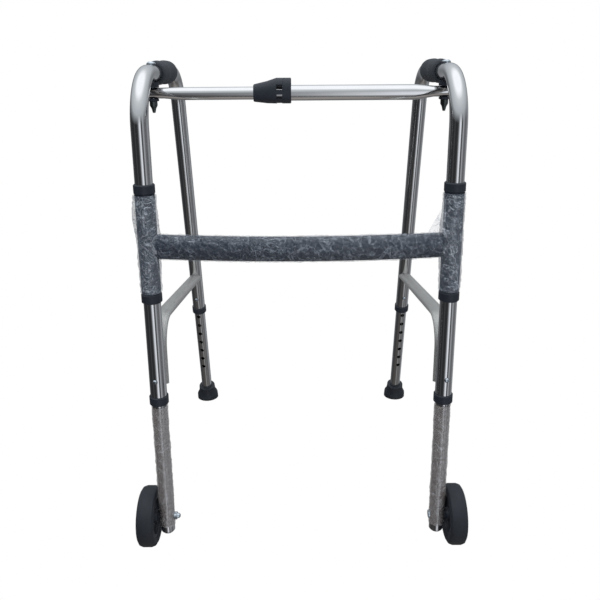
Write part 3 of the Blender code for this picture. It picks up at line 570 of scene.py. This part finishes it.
def build_front_leg(side, sign, parent, looks):
    foot = Vector((0, 0, WHEEL_RADIUS - LEG_BELOW_AXLE))
    button = Vector((0, 0, FRONT_BUTTON_HEIGHT))
    leg, holes = leg_tube(f"{side}_front_leg", foot, button, UP, sign, FRONT_HOLES, parent, looks)
    axle = Vector((0, 0, WHEEL_RADIUS))
    across = Vector((2 * LEG_RADIUS, 0, 0))
    holes.append(rod(AXLE_RADIUS + SEAT_GAP, axle - across, axle + across))
    cut(leg, add_object(f"cut_{side}_front_leg", merge(holes), None, parent))

    spigot = LEG_RADIUS - LEG_WALL - SEAT_GAP
    profile = [
        (0, -PLUG_FLANGE), (LEG_RADIUS * 0.8, -PLUG_FLANGE), (LEG_RADIUS, -SEAT_GAP * 2),
        (LEG_RADIUS, -SEAT_GAP), (spigot, -SEAT_GAP), (spigot, PLUG_SPIGOT), (0, PLUG_SPIGOT),
    ]
    add_object(f"{side}_front_leg_plug", turned(profile, TUBE_SIDES), looks["black_plastic"],
               parent, Matrix.Translation(foot))
    build_axle(side, sign, axle, parent, looks)


def build_axle(side, sign, axle, parent, looks):
    """The axle bolt's head sits in the wheel's outer hollow, and its nut is on the leg's inner side."""
    head = WHEEL_INNER_FACE + WHEEL_WIDTH - HUB_RECESS + SLIDE_GAP
    outwards = along(axle, (sign, 0, 0))
    profile = [
        (0, -LEG_RADIUS), (AXLE_RADIUS, -LEG_RADIUS), (AXLE_RADIUS, head), (HEAD_RADIUS, head),
        (HEAD_RADIUS, head + HEAD_THICKNESS), (0, head + HEAD_THICKNESS),
    ]
    add_object(f"{side}_axle_bolt", turned(profile, PIN_SIDES), looks["steel"], parent, outwards)

    face = LEG_RADIUS + SEAT_GAP
    bm = turned(ring_profile(AXLE_RADIUS + SEAT_GAP, WASHER_RADIUS, face, face + WASHER_THICKNESS),
                WASHER_SIDES)
    add_object(f"{side}_wheel_washer", bm, looks["black_plastic"], parent, outwards)

    length = LEFT_NUT_LENGTH if side == "left" else RIGHT_NUT_LENGTH
    shoulder = min(length, 0.0055)
    profile = [(0, face), (HEAD_RADIUS, face), (HEAD_RADIUS, face + shoulder - 0.0005)]
    if length > shoulder:
        profile += [(HEAD_RADIUS * 0.75, face + shoulder), (HEAD_RADIUS * 0.6, face + length - 0.0015)]
    profile += [(HEAD_RADIUS * 0.3, face + length), (0, face + length)]
    add_object(f"{side}_axle_nut", turned(profile, PIN_SIDES), looks["steel"], parent,
               along(axle, (-sign, 0, 0)))


def build_wheel(side, sign, parent, looks):
    middle = WHEEL_INNER_FACE + WHEEL_WIDTH / 2
    hub_axis = parent @ Matrix.Translation((sign * middle, 0, WHEEL_RADIUS))
    outwards = along((0, 0, 0), (sign, 0, 0))
    half = WHEEL_WIDTH / 2
    bore = AXLE_RADIUS + SLIDE_GAP
    boss, web, rim_bore = 0.0115, 0.0060, 0.0310
    profile = [
        (bore, -half), (boss - 0.001, -half), (boss + 0.001, -web), (rim_bore - 0.001, -web),
        (rim_bore, -RIM_HALF_WIDTH), (RIM_RADIUS, -RIM_HALF_WIDTH), (RIM_RADIUS, RIM_HALF_WIDTH),
        (rim_bore, RIM_HALF_WIDTH), (rim_bore - 0.001, web), (boss + 0.001, web),
        (boss, half - HUB_RECESS), (bore, half - HUB_RECESS),
    ]
    add_object(f"{side}_wheel_hub", turned(profile, WHEEL_SIDES, flats=True), looks["black_plastic"],
               hub_axis, outwards)
    seat = RIM_RADIUS + SEAT_GAP
    profile = [
        (seat, -half + 0.002), (seat + 0.003, -half), (WHEEL_RADIUS - 0.006, -half),
        (WHEEL_RADIUS - 0.002, -half + 0.0025), (WHEEL_RADIUS, -half + 0.008),
    ]
    profile += [(radius, -height) for radius, height in reversed(profile)]
    add_object(f"{side}_tyre", turned(profile, WHEEL_SIDES, flats=True), looks["rubber"],
               hub_axis, outwards)


def build_rear_leg(side, sign, parent, looks):
    foot = Vector(rear_leg_point(0)) + UP_REAR_LEG * (FOOT_FLOOR + SEAT_GAP)
    button = Vector(rear_leg_point(REAR_BUTTON_HEIGHT))
    below = int(((button - foot).dot(UP_REAR_LEG) - REAR_LOWEST_HOLE) / HOLE_PITCH)
    leg, holes = leg_tube(f"{side}_rear_leg", foot, button, UP_REAR_LEG, sign,
                          (REAR_HOLES_ABOVE, below), parent, looks)
    cut(leg, add_object(f"cut_{side}_rear_leg", merge(holes), None, parent))
    build_foot(side, parent, looks)


def build_foot(side, parent, looks):
    """A rubber cup square to the leg, whose base is flat on the floor."""
    bm = bmesh.new()
    on_floor = Vector(rear_leg_point(0))
    pocket = LEG_RADIUS + SEAT_GAP
    steps = [
        (FOOT_BASE_RADIUS - 0.0005, 0.0130), (FOOT_BASE_RADIUS - 0.0030, 0.0170),
        (FOOT_TOP_RADIUS, 0.0270), (FOOT_TOP_RADIUS - 0.0005, FOOT_HEIGHT),
        (pocket, FOOT_HEIGHT), (pocket, FOOT_FLOOR),
    ]
    backwards = Vector((0, math.cos(LEAN), math.sin(LEAN)))
    rings = [[bm.verts.new(on_floor)]]
    angles = [2 * math.pi * k / TUBE_SIDES for k in range(TUBE_SIDES)]
    base = [Vector((FOOT_BASE_RADIUS * math.cos(a), FOOT_BASE_RADIUS * math.sin(a), 0)) for a in angles]
    rings.append([bm.verts.new(on_floor + offset) for offset in base])
    for radius, distance in steps:
        middle = on_floor + UP_REAR_LEG * distance
        across, back = Vector((radius, 0, 0)), backwards * radius
        rings.append([
            bm.verts.new(middle + across * math.cos(a) + back * math.sin(a)) for a in angles
        ])
    rings.append([bm.verts.new(on_floor + UP_REAR_LEG * FOOT_FLOOR)])
    join_rings(bm, rings, closed=False)
    add_object(f"{side}_rubber_foot", bm, looks["rubber"], parent)


# Top crossbar

def bar_stations(pin_x, free_x):
    """From the squashed end, past the pin, to the plain end. The squashed end is raised to the
    underside of the spacer."""
    towards = math.copysign(1, free_x - pin_x)
    heights = [
        (pin_x - towards * BAR_PAST_PIN, BAR_END_HEIGHT), (pin_x + towards * BAR_SQUASH_END, BAR_END_HEIGHT),
        (pin_x + towards * BAR_SQUASH_START, BAR_HEIGHT), (free_x, BAR_HEIGHT),
    ]
    return [(point, (towards, 0)) for point in heights]


def telescopic_tube(name, pin_x, free_x, radius, wall, parent, looks):
    def section(i):
        if i < 2:
            return radius + BAR_END_SPREAD, BAR_END_HALF_HEIGHT
        return radius, radius

    stations = bar_stations(pin_x, free_x)
    bm = swept_tube(stations, lambda p: (p[0], 0, p[1]), (0, 1, 0), section, wall, TUBE_SIDES)
    tube = add_object(name, bm, looks["chrome"], parent)
    pin = Vector((pin_x, 0, BAR_END_HEIGHT))
    hole = rod(PIN_HOLE_RADIUS, pin - UP * 2 * radius, pin + UP * 2 * radius)
    cut(tube, add_object(f"cut_{name}", hole, None, parent))


def build_pivot_nut(side, pin, parent, looks):
    """A washer and a pointed nut below the crossbar. The right nut carries the stud of its open joint."""
    washer_bottom = PIVOT_WASHER_TOP - PIVOT_WASHER_HEIGHT
    profile = ring_profile(PIN_HOLE_RADIUS, PIVOT_WASHER_RADIUS, washer_bottom, PIVOT_WASHER_TOP, 0.001)
    add_object(f"{side}_pivot_washer", turned(profile, WASHER_SIDES), looks["black_plastic"], parent,
               Matrix.Translation(pin))
    # Shares of the nut's radius and, downwards from its top, of its height.
    outline = ((0, 1), (0.35, 0.97), (0.6, 0.6), (1, 0.35), (1, 0))
    profile = [(PIVOT_NUT_RADIUS * wide, PIVOT_NUT_TOP - PIVOT_NUT_HEIGHT * down) for wide, down in outline]
    if side == "right":
        profile += [(PIN_RADIUS, PIVOT_NUT_TOP), (PIN_RADIUS, BAR_END_TOP), (0, BAR_END_TOP)]
    else:
        profile.append((0, PIVOT_NUT_TOP))
    add_object(f"{side}_pivot_nut", turned(profile, PIN_SIDES), looks["steel"], parent,
               Matrix.Translation(pin))


def lock_body(stations):
    """A solid loft along X through (x, (top, bottom, half width)) with rounded-square sections."""
    bm = bmesh.new()
    rings = [[bm.verts.new((stations[0][0], 0, BAR_HEIGHT))]]
    for x, (top, bottom, half_width) in stations:
        ring = []
        for k in range(LOCK_SIDES):
            angle = 2 * math.pi * k / LOCK_SIDES
            across, up = math.cos(angle), math.sin(angle)
            square = (abs(across) ** SQUARENESS + abs(up) ** SQUARENESS) ** (-1 / SQUARENESS)
            rise = top if up > 0 else bottom
            ring.append(bm.verts.new((x, half_width * across * square, BAR_HEIGHT + rise * up * square)))
        rings.append(ring)
    rings.append([bm.verts.new((stations[-1][0], 0, BAR_HEIGHT))])
    join_rings(bm, rings, closed=False)
    return bm


def eased(sizes):
    """The section at the outside of a softened edge."""
    return tuple(size - LOCK_EDGE for size in sizes)


def build_lock(parent, looks):
    """A plastic housing round the joint of the two tubes, with windows in front and a slot below, and
    a separate sprung ring at its end."""
    on_inner = INNER_BAR_RADIUS + SLIDE_GAP
    on_outer = OUTER_BAR_RADIUS + SEAT_GAP
    step = OUTER_BAR_START - SEAT_GAP
    to_bar = along((0, 0, BAR_HEIGHT), (1, 0, 0))
    middle = LOCK_START + 0.6 * (LOCK_SHOULDER - LOCK_START)
    bm = lock_body([
        (LOCK_START, eased(LOCK_NECK)), (LOCK_START + LOCK_EDGE, LOCK_NECK), (middle, LOCK_MIDDLE),
        (LOCK_SHOULDER, LOCK_BLOCK), (LOCK_END, LOCK_BLOCK),
    ])
    lock = add_object("lock_housing", bm, looks["black_plastic"], parent)
    bore = turned([
        (0, LOCK_START - 0.01), (on_inner, LOCK_START - 0.01), (on_inner, step), (on_outer, step),
        (on_outer, LOCK_END + 0.01), (0, LOCK_END + 0.01),
    ], TUBE_SIDES)
    cut(lock, add_object("cut_lock_bore", bore, None, parent, to_bar))
    windows = []
    start, end = LOCK_SHOULDER + 0.0004, LOCK_END - 0.0012
    low, high = OUTER_BAR_RADIUS - 0.002, 2 * LOCK_BLOCK[0]
    for degrees, half_width in zip(WINDOW_DEGREES, WINDOW_HALF_WIDTHS):
        bm = box((start, -half_width, low), (end, half_width, high))
        turn = Matrix.Rotation(math.radians(90 - degrees), 4, "X")
        bmesh.ops.transform(bm, matrix=Matrix.Translation((0, 0, BAR_HEIGHT)) @ turn, verts=bm.verts)
        windows.append(bm)
    cut(lock, add_object("cut_lock_windows", merge(windows), None, parent))

    bm = lock_body([
        (LOCK_END + SEAT_GAP, LOCK_BLOCK), (LOCK_RING_END - LOCK_EDGE, LOCK_BLOCK),
        (LOCK_RING_END, eased(LOCK_BLOCK)),
    ])
    ring = add_object("lock_ring", bm, looks["black_plastic"], parent)
    bore = rod(OUTER_BAR_RADIUS + SLIDE_GAP, (LOCK_END - 0.01, 0, BAR_HEIGHT),
               (LOCK_RING_END + 0.01, 0, BAR_HEIGHT), TUBE_SIDES)
    cut(ring, add_object("cut_lock_ring", bore, None, parent))


def build_crossbar(root, looks):
    """The inner tube turns on the left pin, and the outer tube slides over it."""
    parent = root @ Matrix.Translation((-HALF_SPACING, PIN_REACH, 0))
    telescopic_tube("crossbar_inner_tube", 0, HALF_SPACING + INNER_BAR_NOSE, INNER_BAR_RADIUS,
                    INNER_BAR_WALL, parent, looks)
    build_pivot_nut("left", Vector((0, 0, 0)), parent, looks)
    middle = parent @ Matrix.Translation((HALF_SPACING, 0, 0))
    telescopic_tube("crossbar_outer_tube", HALF_SPACING, OUTER_BAR_START, OUTER_BAR_RADIUS,
                    OUTER_BAR_WALL, middle, looks)
    build_pivot_nut("right", Vector((HALF_SPACING, 0, 0)), middle, looks)
    bm = turned(ring_profile(INNER_BAR_RADIUS + SEAT_GAP, OUTER_BAR_RADIUS - OUTER_BAR_WALL - SEAT_GAP,
                             BUSH_START, BUSH_START + BUSH_LENGTH), TUBE_SIDES)
    add_object("crossbar_guide_bush", bm, looks["steel"], middle, along((0, 0, BAR_HEIGHT), (1, 0, 0)))
    build_lock(middle, looks)


# Looks

def new_material(name):
    made = bpy.data.materials.new(name)
    made.use_nodes = True
    return made, made.node_tree


def add_node(tree, kind, **values):
    """A shader node with its inputs set by name, in which _ stands for a space."""
    made = tree.nodes.new("ShaderNode" + kind)
    for name, value in values.items():
        made.inputs[name.replace("_", " ")].default_value = value
    return made


def math_node(tree, operation, first, second=None):
    """A Math node from one output and either a number or another output."""
    made = add_node(tree, "Math")
    made.operation = operation
    tree.links.new(first, made.inputs[0])
    if isinstance(second, float):
        made.inputs[1].default_value = second
    elif second:
        tree.links.new(second, made.inputs[1])
    return made.outputs[0]


def color_mix(tree, share, first, second):
    """A mix of two colours, each a triple or an output."""
    made = add_node(tree, "Mix")
    made.data_type = "RGBA"
    tree.links.new(share, made.inputs[0])
    for color, entry in ((first, made.inputs[6]), (second, made.inputs[7])):
        if isinstance(color, tuple):
            entry.default_value = (*color, 1)
        else:
            tree.links.new(color, entry)
    return made.outputs[2]


def shader_mix(tree, share, first, second):
    made = add_node(tree, "MixShader")
    if isinstance(share, float):
        made.inputs["Fac"].default_value = share
    else:
        tree.links.new(share, made.inputs["Fac"])
    tree.links.new(first.outputs[0], made.inputs[1])
    tree.links.new(second.outputs[0], made.inputs[2])
    return made


def noise_output(tree, place, **values):
    made = add_node(tree, "TexNoise", **values)
    tree.links.new(place, made.inputs["Vector"])
    return made.outputs["Fac"]


def mapped(tree, value, **values):
    made = add_node(tree, "MapRange", **values)
    tree.links.new(value, made.inputs["Value"])
    return made.outputs["Result"]


def bumped(tree, height, shader, strength, distance):
    relief = add_node(tree, "Bump", Strength=strength, Distance=distance)
    tree.links.new(height, relief.inputs["Height"])
    tree.links.new(relief.outputs["Normal"], shader.inputs["Normal"])


def textured(name, color, roughness, metallic, spread=0.08, scale=40.0, bump=0.0, bump_scale=400.0, dark=0.6):
    """A Principled material. With noise, its roughness goes up and down by spread, and its colour
    down to the share dark."""
    made, tree = new_material(name)
    shader = tree.nodes["Principled BSDF"]
    shader.inputs["Metallic"].default_value = metallic
    place = add_node(tree, "TexCoord").outputs["Object"]
    grain = noise_output(tree, place, Scale=scale, Detail=6)
    rough = mapped(tree, grain, To_Min=max(0.02, roughness - spread), To_Max=roughness + spread)
    tree.links.new(rough, shader.inputs["Roughness"])
    tone = color_mix(tree, grain, tuple(c * dark for c in color), color)
    tree.links.new(tone, shader.inputs["Base Color"])
    if bump:
        bumped(tree, noise_output(tree, place, Scale=bump_scale, Detail=3), shader, bump, 0.001)
    return made


LOOKS = {
    "chrome": textured("look_chrome", (0.74, 0.735, 0.735), 0.08, 1.0, spread=0.035, scale=30, dark=0.9),
    "grey": textured("look_grey_tube", (0.50, 0.50, 0.49), 0.42, 0.65, spread=0.06, scale=60, dark=0.85),
    "black_paint": textured("look_black_paint", (0.022, 0.030, 0.048), 0.38, 0.0, bump=0.15),
    "black_plastic": textured("look_black_plastic", (0.016, 0.021, 0.033), 0.50, 0.0, bump=0.10),
    "foam": textured("look_foam", (0.040, 0.047, 0.058), 0.80, 0.0, bump=0.5, bump_scale=700),
    "rubber": textured("look_rubber", (0.016, 0.020, 0.028), 0.62, 0.0, spread=0.12, bump=0.25),
    "dark_zinc": textured("look_dark_zinc", (0.16, 0.18, 0.18), 0.34, 1.0, scale=120),
    "steel": textured("look_zinc", (0.62, 0.68, 0.74), 0.26, 1.0, scale=120, dark=0.75),
}


def crease_lines(tree, place):
    """1 along thin wandering lines, coarse and fine ones, and 0 between them. They follow a noise's
    middle value."""
    lines = []
    for scale, width in ((24, 0.016), (62, 0.020)):
        value = noise_output(tree, place, Scale=scale, Detail=4, Distortion=1.2)
        apart = math_node(tree, "ABSOLUTE", math_node(tree, "SUBTRACT", value, 0.5))
        lines.append(mapped(tree, apart, From_Max=width, To_Min=1, To_Max=0))
    return math_node(tree, "MAXIMUM", *lines)


def film_material(name, clear, tint, crease_painted_light=(0.74, 0.78, 0.84), crease_body=0.5):
    """Thin crinkled film. It lets the share clear through, and less by crease_body at a crease."""
    made, tree = new_material(name)
    tree.nodes.remove(tree.nodes["Principled BSDF"])
    place = add_node(tree, "TexCoord").outputs["Object"]
    lines = crease_lines(tree, place)
    gloss = add_node(tree, "BsdfGlossy", Roughness=0.20, Color=(0.9, 0.94, 1.0, 1))
    bumped(tree, noise_output(tree, place, Scale=55, Detail=5, Distortion=1.6), gloss, 1.0, 0.006)
    milk = add_node(tree, "BsdfDiffuse")
    # At a crease the film's colour turns to a painted light colour: a painted highlight on the wraps and the
    # web, and painted shade on the thin leg film. The creases themselves are real, and the film is less clear
    # there.
    tree.links.new(color_mix(tree, lines, tint, crease_painted_light), milk.inputs["Color"])
    body = shader_mix(tree, 0.6, gloss, milk)
    cover = mapped(tree, lines, To_Min=1 - clear, To_Max=min(1.0, 1 - clear + crease_body))
    whole = shader_mix(tree, cover, add_node(tree, "BsdfTransparent"), body)
    tree.links.new(whole.outputs[0], tree.nodes["Material Output"].inputs["Surface"])
    return made


# Protective film

FILM_GAP = 0.0006  # round the front frame
LEG_FILM_GAP = 0.0005
FILM_BULGE = 0.004  # how far a sleeve's film stands off where it is loose
BAR_FILM_SETBACK = 0.004  # between the crossbar's film and a hinge sleeve
LEG_FILM_BELOW_AXLE = 0.016
LEG_FILM_BELOW_RING = 0.004
WEB_HEIGHT = 0.062
WEB_WIDTH = 0.030


def link_film(name, bm, look):
    """The object, and its area."""
    mesh = bpy.data.meshes.new(name)
    bm.to_mesh(mesh)
    bm.free()
    mesh.shade_smooth()
    mesh.materials.append(look)
    made = bpy.data.objects.new(name, mesh)
    bpy.context.scene.collection.objects.link(made)
    return made, sum(face.area for face in mesh.polygons)


def declare_film(obj, body):
    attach(obj, body)


def film_tube(name, point_at, across_at, radii_at, steps, sides, look, seed, crumple):
    """A crinkled skin round a line. At a share of the length, point_at gives the middle and
    across_at two directions across the line. radii_at(share, angle) gives the sizes along them."""
    bm = bmesh.new()
    rings = []
    for i in range(steps + 1):
        share = i / steps
        middle = Vector(point_at(share))
        first, second = across_at(share)
        ring = []
        for k in range(sides):
            angle = 2 * math.pi * k / sides
            base_1, base_2 = radii_at(share, angle)
            spot = middle + first * base_1 * math.cos(angle) + second * base_2 * math.sin(angle)
            outward = (first * math.cos(angle) + second * math.sin(angle)).normalized()
            lift = noise.fractal(spot * 60 + Vector((seed, 0, 0)), 1.0, 2.0, 3)
            ridge = abs(noise.noise(spot * 130 + Vector((0, seed, 0))))
            ring.append(bm.verts.new(spot + outward * (crumple * (0.5 + 0.5 * lift + 0.8 * ridge))))
        rings.append(ring)
    join_rings(bm, rings, closed=False)
    return link_film(name, bm, look)


def along_x_and_y(share):
    return Vector((1, 0, 0)), Vector((0, 1, 0))


def bell(share, middle, width):
    return math.exp(-((share - middle) / width) ** 2)


def build_sleeve_film(side, sign, seed, look):
    """It is loose towards the crossbar, and on the left also outwards near its top."""
    base = Vector((sign * HALF_SPACING, FRONT_Y, 0))

    def point_at(share):
        return base + UP * (SLEEVE_BOTTOM + 0.002 + (SLEEVE_LENGTH - 0.003) * share)

    def radii_at(share, angle):
        outwards = 0.0
        if side == "left":
            outwards = FILM_BULGE * bell(share, 0.78, 0.16) * max(0.0, -math.cos(angle))
        to_bar = FILM_BULGE * bell(share, 0.52, 0.22) * max(0.0, -sign * math.cos(angle))
        return (SLEEVE_RADIUS + FILM_GAP + outwards + to_bar,) * 2

    obj, area = film_tube(f"{side}_sleeve_film", point_at, along_x_and_y, radii_at, 110, 72, look, seed,
                          0.0019)
    declare_film(obj, "front_frame")


def build_leg_film(side, sign, seed, look):
    foot = Vector((sign * HALF_SPACING, FRONT_Y, 0)) + UP * (WHEEL_RADIUS - LEG_FILM_BELOW_AXLE)
    length = FRONT_RING_BOTTOM - LEG_FILM_BELOW_RING - foot.z
    obj, area = film_tube(f"{side}_front_leg_film", lambda share: foot + UP * (length * share), along_x_and_y,
                          lambda share, angle: (LEG_RADIUS + LEG_FILM_GAP,) * 2, 120, 56, look, seed, 0.0017)
    declare_film(obj, f"{side}_front_extension")


def build_bar_film(look):
    bow_radius = (HALF_SPACING**2 + LOWER_BAR_BOW**2) / (2 * LOWER_BAR_BOW)
    half_angle = math.asin((HALF_SPACING - SLEEVE_RADIUS - BAR_FILM_SETBACK) / bow_radius)
    full_angle = math.asin(HALF_SPACING / bow_radius)

    def point_at(share):
        angle = half_angle * (2 * share - 1)
        return (bow_radius * math.sin(angle), FRONT_Y + bow_radius * (math.cos(full_angle) - math.cos(angle)),
                LOWER_BAR_HEIGHT)

    def across_at(share):
        angle = half_angle * (2 * share - 1)
        return UP, Vector((-math.sin(angle), math.cos(angle), 0))

    def radii_at(share, angle):
        return LOWER_BAR_HALF_HEIGHT + FILM_GAP, LOWER_BAR_HALF_DEPTH + FILM_GAP

    obj, area = film_tube("lower_bar_film", point_at, across_at, radii_at, 260, 64, look, 21.0, 0.0014)
    # A wrap that is nearly closed is measured as two layers, so it is declared as half its area.
    declare_film(obj, "front_frame")


def build_film_web(look):
    """A loose web of film from the right sleeve to the bar, above their corner."""
    bm = bmesh.new()
    corner = Vector((HALF_SPACING - SLEEVE_RADIUS, FRONT_Y - 0.010, LOWER_BAR_HEIGHT + LOWER_BAR_HALF_HEIGHT))
    rows = []
    steps = 26
    for i in range(steps + 1):
        up = i / steps
        row = []
        for j in range(steps + 1):
            aside = -WEB_WIDTH * j / steps * (1 - up) ** 1.3
            spot = corner + Vector((aside + 0.001, -0.002, WEB_HEIGHT * up - 0.001))
            spot += Vector((0, 0.005 * noise.noise(spot * 70), 0))
            row.append(bm.verts.new(spot))
        rows.append(row)
    # Its top row runs to a point, so the faces stop below it.
    for low, high in zip(rows, rows[1:-1]):
        for j in range(steps):
            bm.faces.new((low[j], low[j + 1], high[j + 1], high[j]))
    bmesh.ops.delete(bm, geom=rows[-1], context="VERTS")
    obj, area = link_film("right_film_web", bm, look)
    declare_film(obj, "front_frame")


def build_film():
    # The fourth colour of each film is the painted light at its creases: a painted highlight on the wraps,
    # painted shade on the thin leg film.
    wrap = film_material("film_wrap", 0.66, (0.20, 0.235, 0.29), (0.56, 0.61, 0.68), 0.42)
    bar_wrap = film_material("film_bar", 0.82, (0.10, 0.125, 0.17), (0.32, 0.37, 0.45), 0.32)
    thin = film_material("film_thin", 0.42, (0.34, 0.305, 0.29), (0.30, 0.27, 0.26), 0.25)
    for (side, sign), seed in zip(SIDES, (3.0, 11.0)):
        build_sleeve_film(side, sign, seed, wrap)
        build_leg_film(side, sign, seed + 5, thin)
    build_bar_film(bar_wrap)
    build_film_web(film_material("film_web", 0.78, (0.42, 0.45, 0.5)))


# Camera, light and backdrop

CAMERA_PLACE = (0, FRONT_Y - 1.021, 0.836)
CAMERA_PITCH = math.radians(74.2)
CAMERA_ROLL = math.radians(-0.41)

# What polished pieces reflect. The bands go round by way of -X, from straight in front of the object
# at 0 to straight behind at 0.5. The other two go from straight down at 0 to straight up at 1.
BAND_TINT = (0.93, 0.975, 1.04)
BANDS = (
    (0.00, 0.42), (0.012, 0.30), (0.035, 0.05), (0.11, 0.03), (0.15, 0.07), (0.19, 0.03), (0.26, 0.04),
    (0.32, 0.05), (0.36, 0.16), (0.42, 0.10), (0.50, 0.30), (0.58, 0.20), (0.66, 0.42), (0.72, 0.20),
    (0.80, 0.16), (0.83, 0.34), (0.865, 0.50), (0.885, 0.10), (0.925, 0.08), (0.94, 1.00), (0.975, 1.00),
    (1.00, 0.42),
)
FLOOR_TO_CEILING = (
    (0.0, (0.36, 0.34, 0.33)), (0.10, (0.10, 0.095, 0.09)), (0.2, (0.12, 0.11, 0.11)),
    (0.3, (0.36, 0.34, 0.33)), (0.56, (0.40, 0.43, 0.46)), (0.75, (0.58, 0.63, 0.67)),
    (0.86, (0.75, 0.8, 0.84)), (0.95, (1.3, 1.35, 1.4)), (1.0, (1.3, 1.35, 1.4)),
)
FLOOR_AND_CEILING_SHARE = ((0.0, 1.0), (0.12, 0.7), (0.22, 0.0), (0.53, 0.0), (0.68, 1.0), (1.0, 1.0))


def build_camera():
    data = bpy.data.cameras.new("camera")
    data.sensor_width = 36
    data.lens = 39.84
    data.shift_y = -0.0833
    data.clip_start = 0.01
    camera = bpy.data.objects.new("camera", data)
    turn = Matrix.Rotation(CAMERA_PITCH, 4, "X") @ Matrix.Rotation(CAMERA_ROLL, 4, "Z")
    camera.matrix_world = Matrix.Translation(CAMERA_PLACE) @ turn
    bpy.context.scene.collection.objects.link(camera)
    bpy.context.scene.camera = camera


def color_ramp(tree, value, stops):
    made = add_node(tree, "ValToRGB")
    tree.links.new(value, made.inputs["Fac"])
    elements = made.color_ramp.elements
    for element, (position, color) in ((elements[0], stops[0]), (elements[1], stops[-1])):
        element.position, element.color = position, (*color, 1)
    for position, color in stops[1:-1]:
        elements.new(position).color = (*color, 1)
    return made.outputs["Color"]


def background(tree, color, strength):
    made = add_node(tree, "Background", Strength=strength)
    if isinstance(color, tuple):
        made.inputs["Color"].default_value = (*color, 1)
    else:
        tree.links.new(color, made.inputs["Color"])
    return made


def reflected_room(tree):
    """The colour that a reflection sees: dark and light upright bands, a floor and a ceiling."""
    split = add_node(tree, "SeparateXYZ")
    tree.links.new(add_node(tree, "TexCoord").outputs["Generated"], split.inputs["Vector"])
    turn = math_node(tree, "ARCTAN2", split.outputs["X"], split.outputs["Y"])
    around = mapped(tree, turn, From_Min=-math.pi, From_Max=math.pi)
    height = mapped(tree, split.outputs["Z"], From_Min=-1, From_Max=1)
    bands = color_ramp(tree, around, [(at, tuple(value * c for c in BAND_TINT)) for at, value in BANDS])
    plain = color_ramp(tree, height, FLOOR_TO_CEILING)
    share = color_ramp(tree, height, [(at, (value,) * 3) for at, value in FLOOR_AND_CEILING_SHARE])
    return color_mix(tree, share, bands, plain)


def build_world():
    """White to the camera, the reflected room to glossy rays and an even light to the rest."""
    world = bpy.data.worlds.new("studio")
    bpy.context.scene.world = world
    world.use_nodes = True
    tree = world.node_tree
    tree.nodes.clear()
    path = add_node(tree, "LightPath")
    mirror = background(tree, reflected_room(tree), 1.0)
    ambient = background(tree, (0.95, 0.97, 1.0), 0.55)
    white = background(tree, (1.0, 1.0, 1.0), 1.0)
    lit = shader_mix(tree, path.outputs["Is Glossy Ray"], ambient, mirror)
    seen = shader_mix(tree, path.outputs["Is Camera Ray"], lit, white)
    tree.links.new(seen.outputs[0], add_node(tree, "OutputWorld").inputs["Surface"])


def build_floor():
    """A pale floor. The camera sees it as plain white, and other rays see a soft grey."""
    bpy.ops.mesh.primitive_plane_add(size=8, location=(0, 0, -0.001))
    floor = bpy.context.object
    floor.name = "floor"
    made, tree = new_material("floor_pale")
    shader = tree.nodes["Principled BSDF"]
    shader.inputs["Base Color"].default_value = (0.6, 0.6, 0.61, 1)
    shader.inputs["Roughness"].default_value = 0.9
    plain = add_node(tree, "Emission", Color=(1, 1, 1, 1), Strength=1.0)
    whole = shader_mix(tree, add_node(tree, "LightPath").outputs["Is Camera Ray"], shader, plain)
    tree.links.new(whole.outputs[0], tree.nodes["Material Output"].inputs["Surface"])
    floor.data.materials.append(made)
    floor.visible_glossy = False


def area_light(name, place, target, size, power):
    data = bpy.data.lights.new(name, "AREA")
    data.shape = "RECTANGLE"
    data.size, data.size_y = size
    data.energy = power
    made = bpy.data.objects.new(name, data)
    direction = Vector(target) - Vector(place)
    made.visible_glossy = False
    made.matrix_world = Matrix.Translation(place) @ direction.to_track_quat("-Z", "Y").to_matrix().to_4x4()
    bpy.context.scene.collection.objects.link(made)


def build_lights():
    area_light("key", (-1.2, -1.8, 2.4), (0, 0, 0.5), (1.4, 1.4), 24)
    area_light("fill", (1.8, -1.4, 1.6), (0, 0, 0.5), (1.2, 1.6), 12)
    area_light("top", (0, 0.2, 2.8), (0, 0, 0), (2.4, 2.0), 22)


def declare_pieces():
    """Each piece rides the body of the CAD node of its name, and replaces that node."""
    record = frame["record"]
    body_of = {node: body for body, nodes in record["behaviour"]["bodies"].items() for node in nodes}
    for name, made in MADE:
        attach(made, body_of[name])
        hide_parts(name)
        if name.endswith("pivot_nut"):
            made.data.materials[0] = LOOKS["dark_zinc"]


def main():
    build_camera()
    root = Matrix.Translation((0, FRONT_Y, 0))
    build_front_frame(root, LOOKS)
    for side, sign in SIDES:
        build_side(side, sign, root, LOOKS)
    build_crossbar(root, LOOKS)
    declare_pieces()
    build_film()
    build_world()
    build_floor()
    build_lights()
    bpy.context.scene.view_settings.view_transform = "Standard"


main()
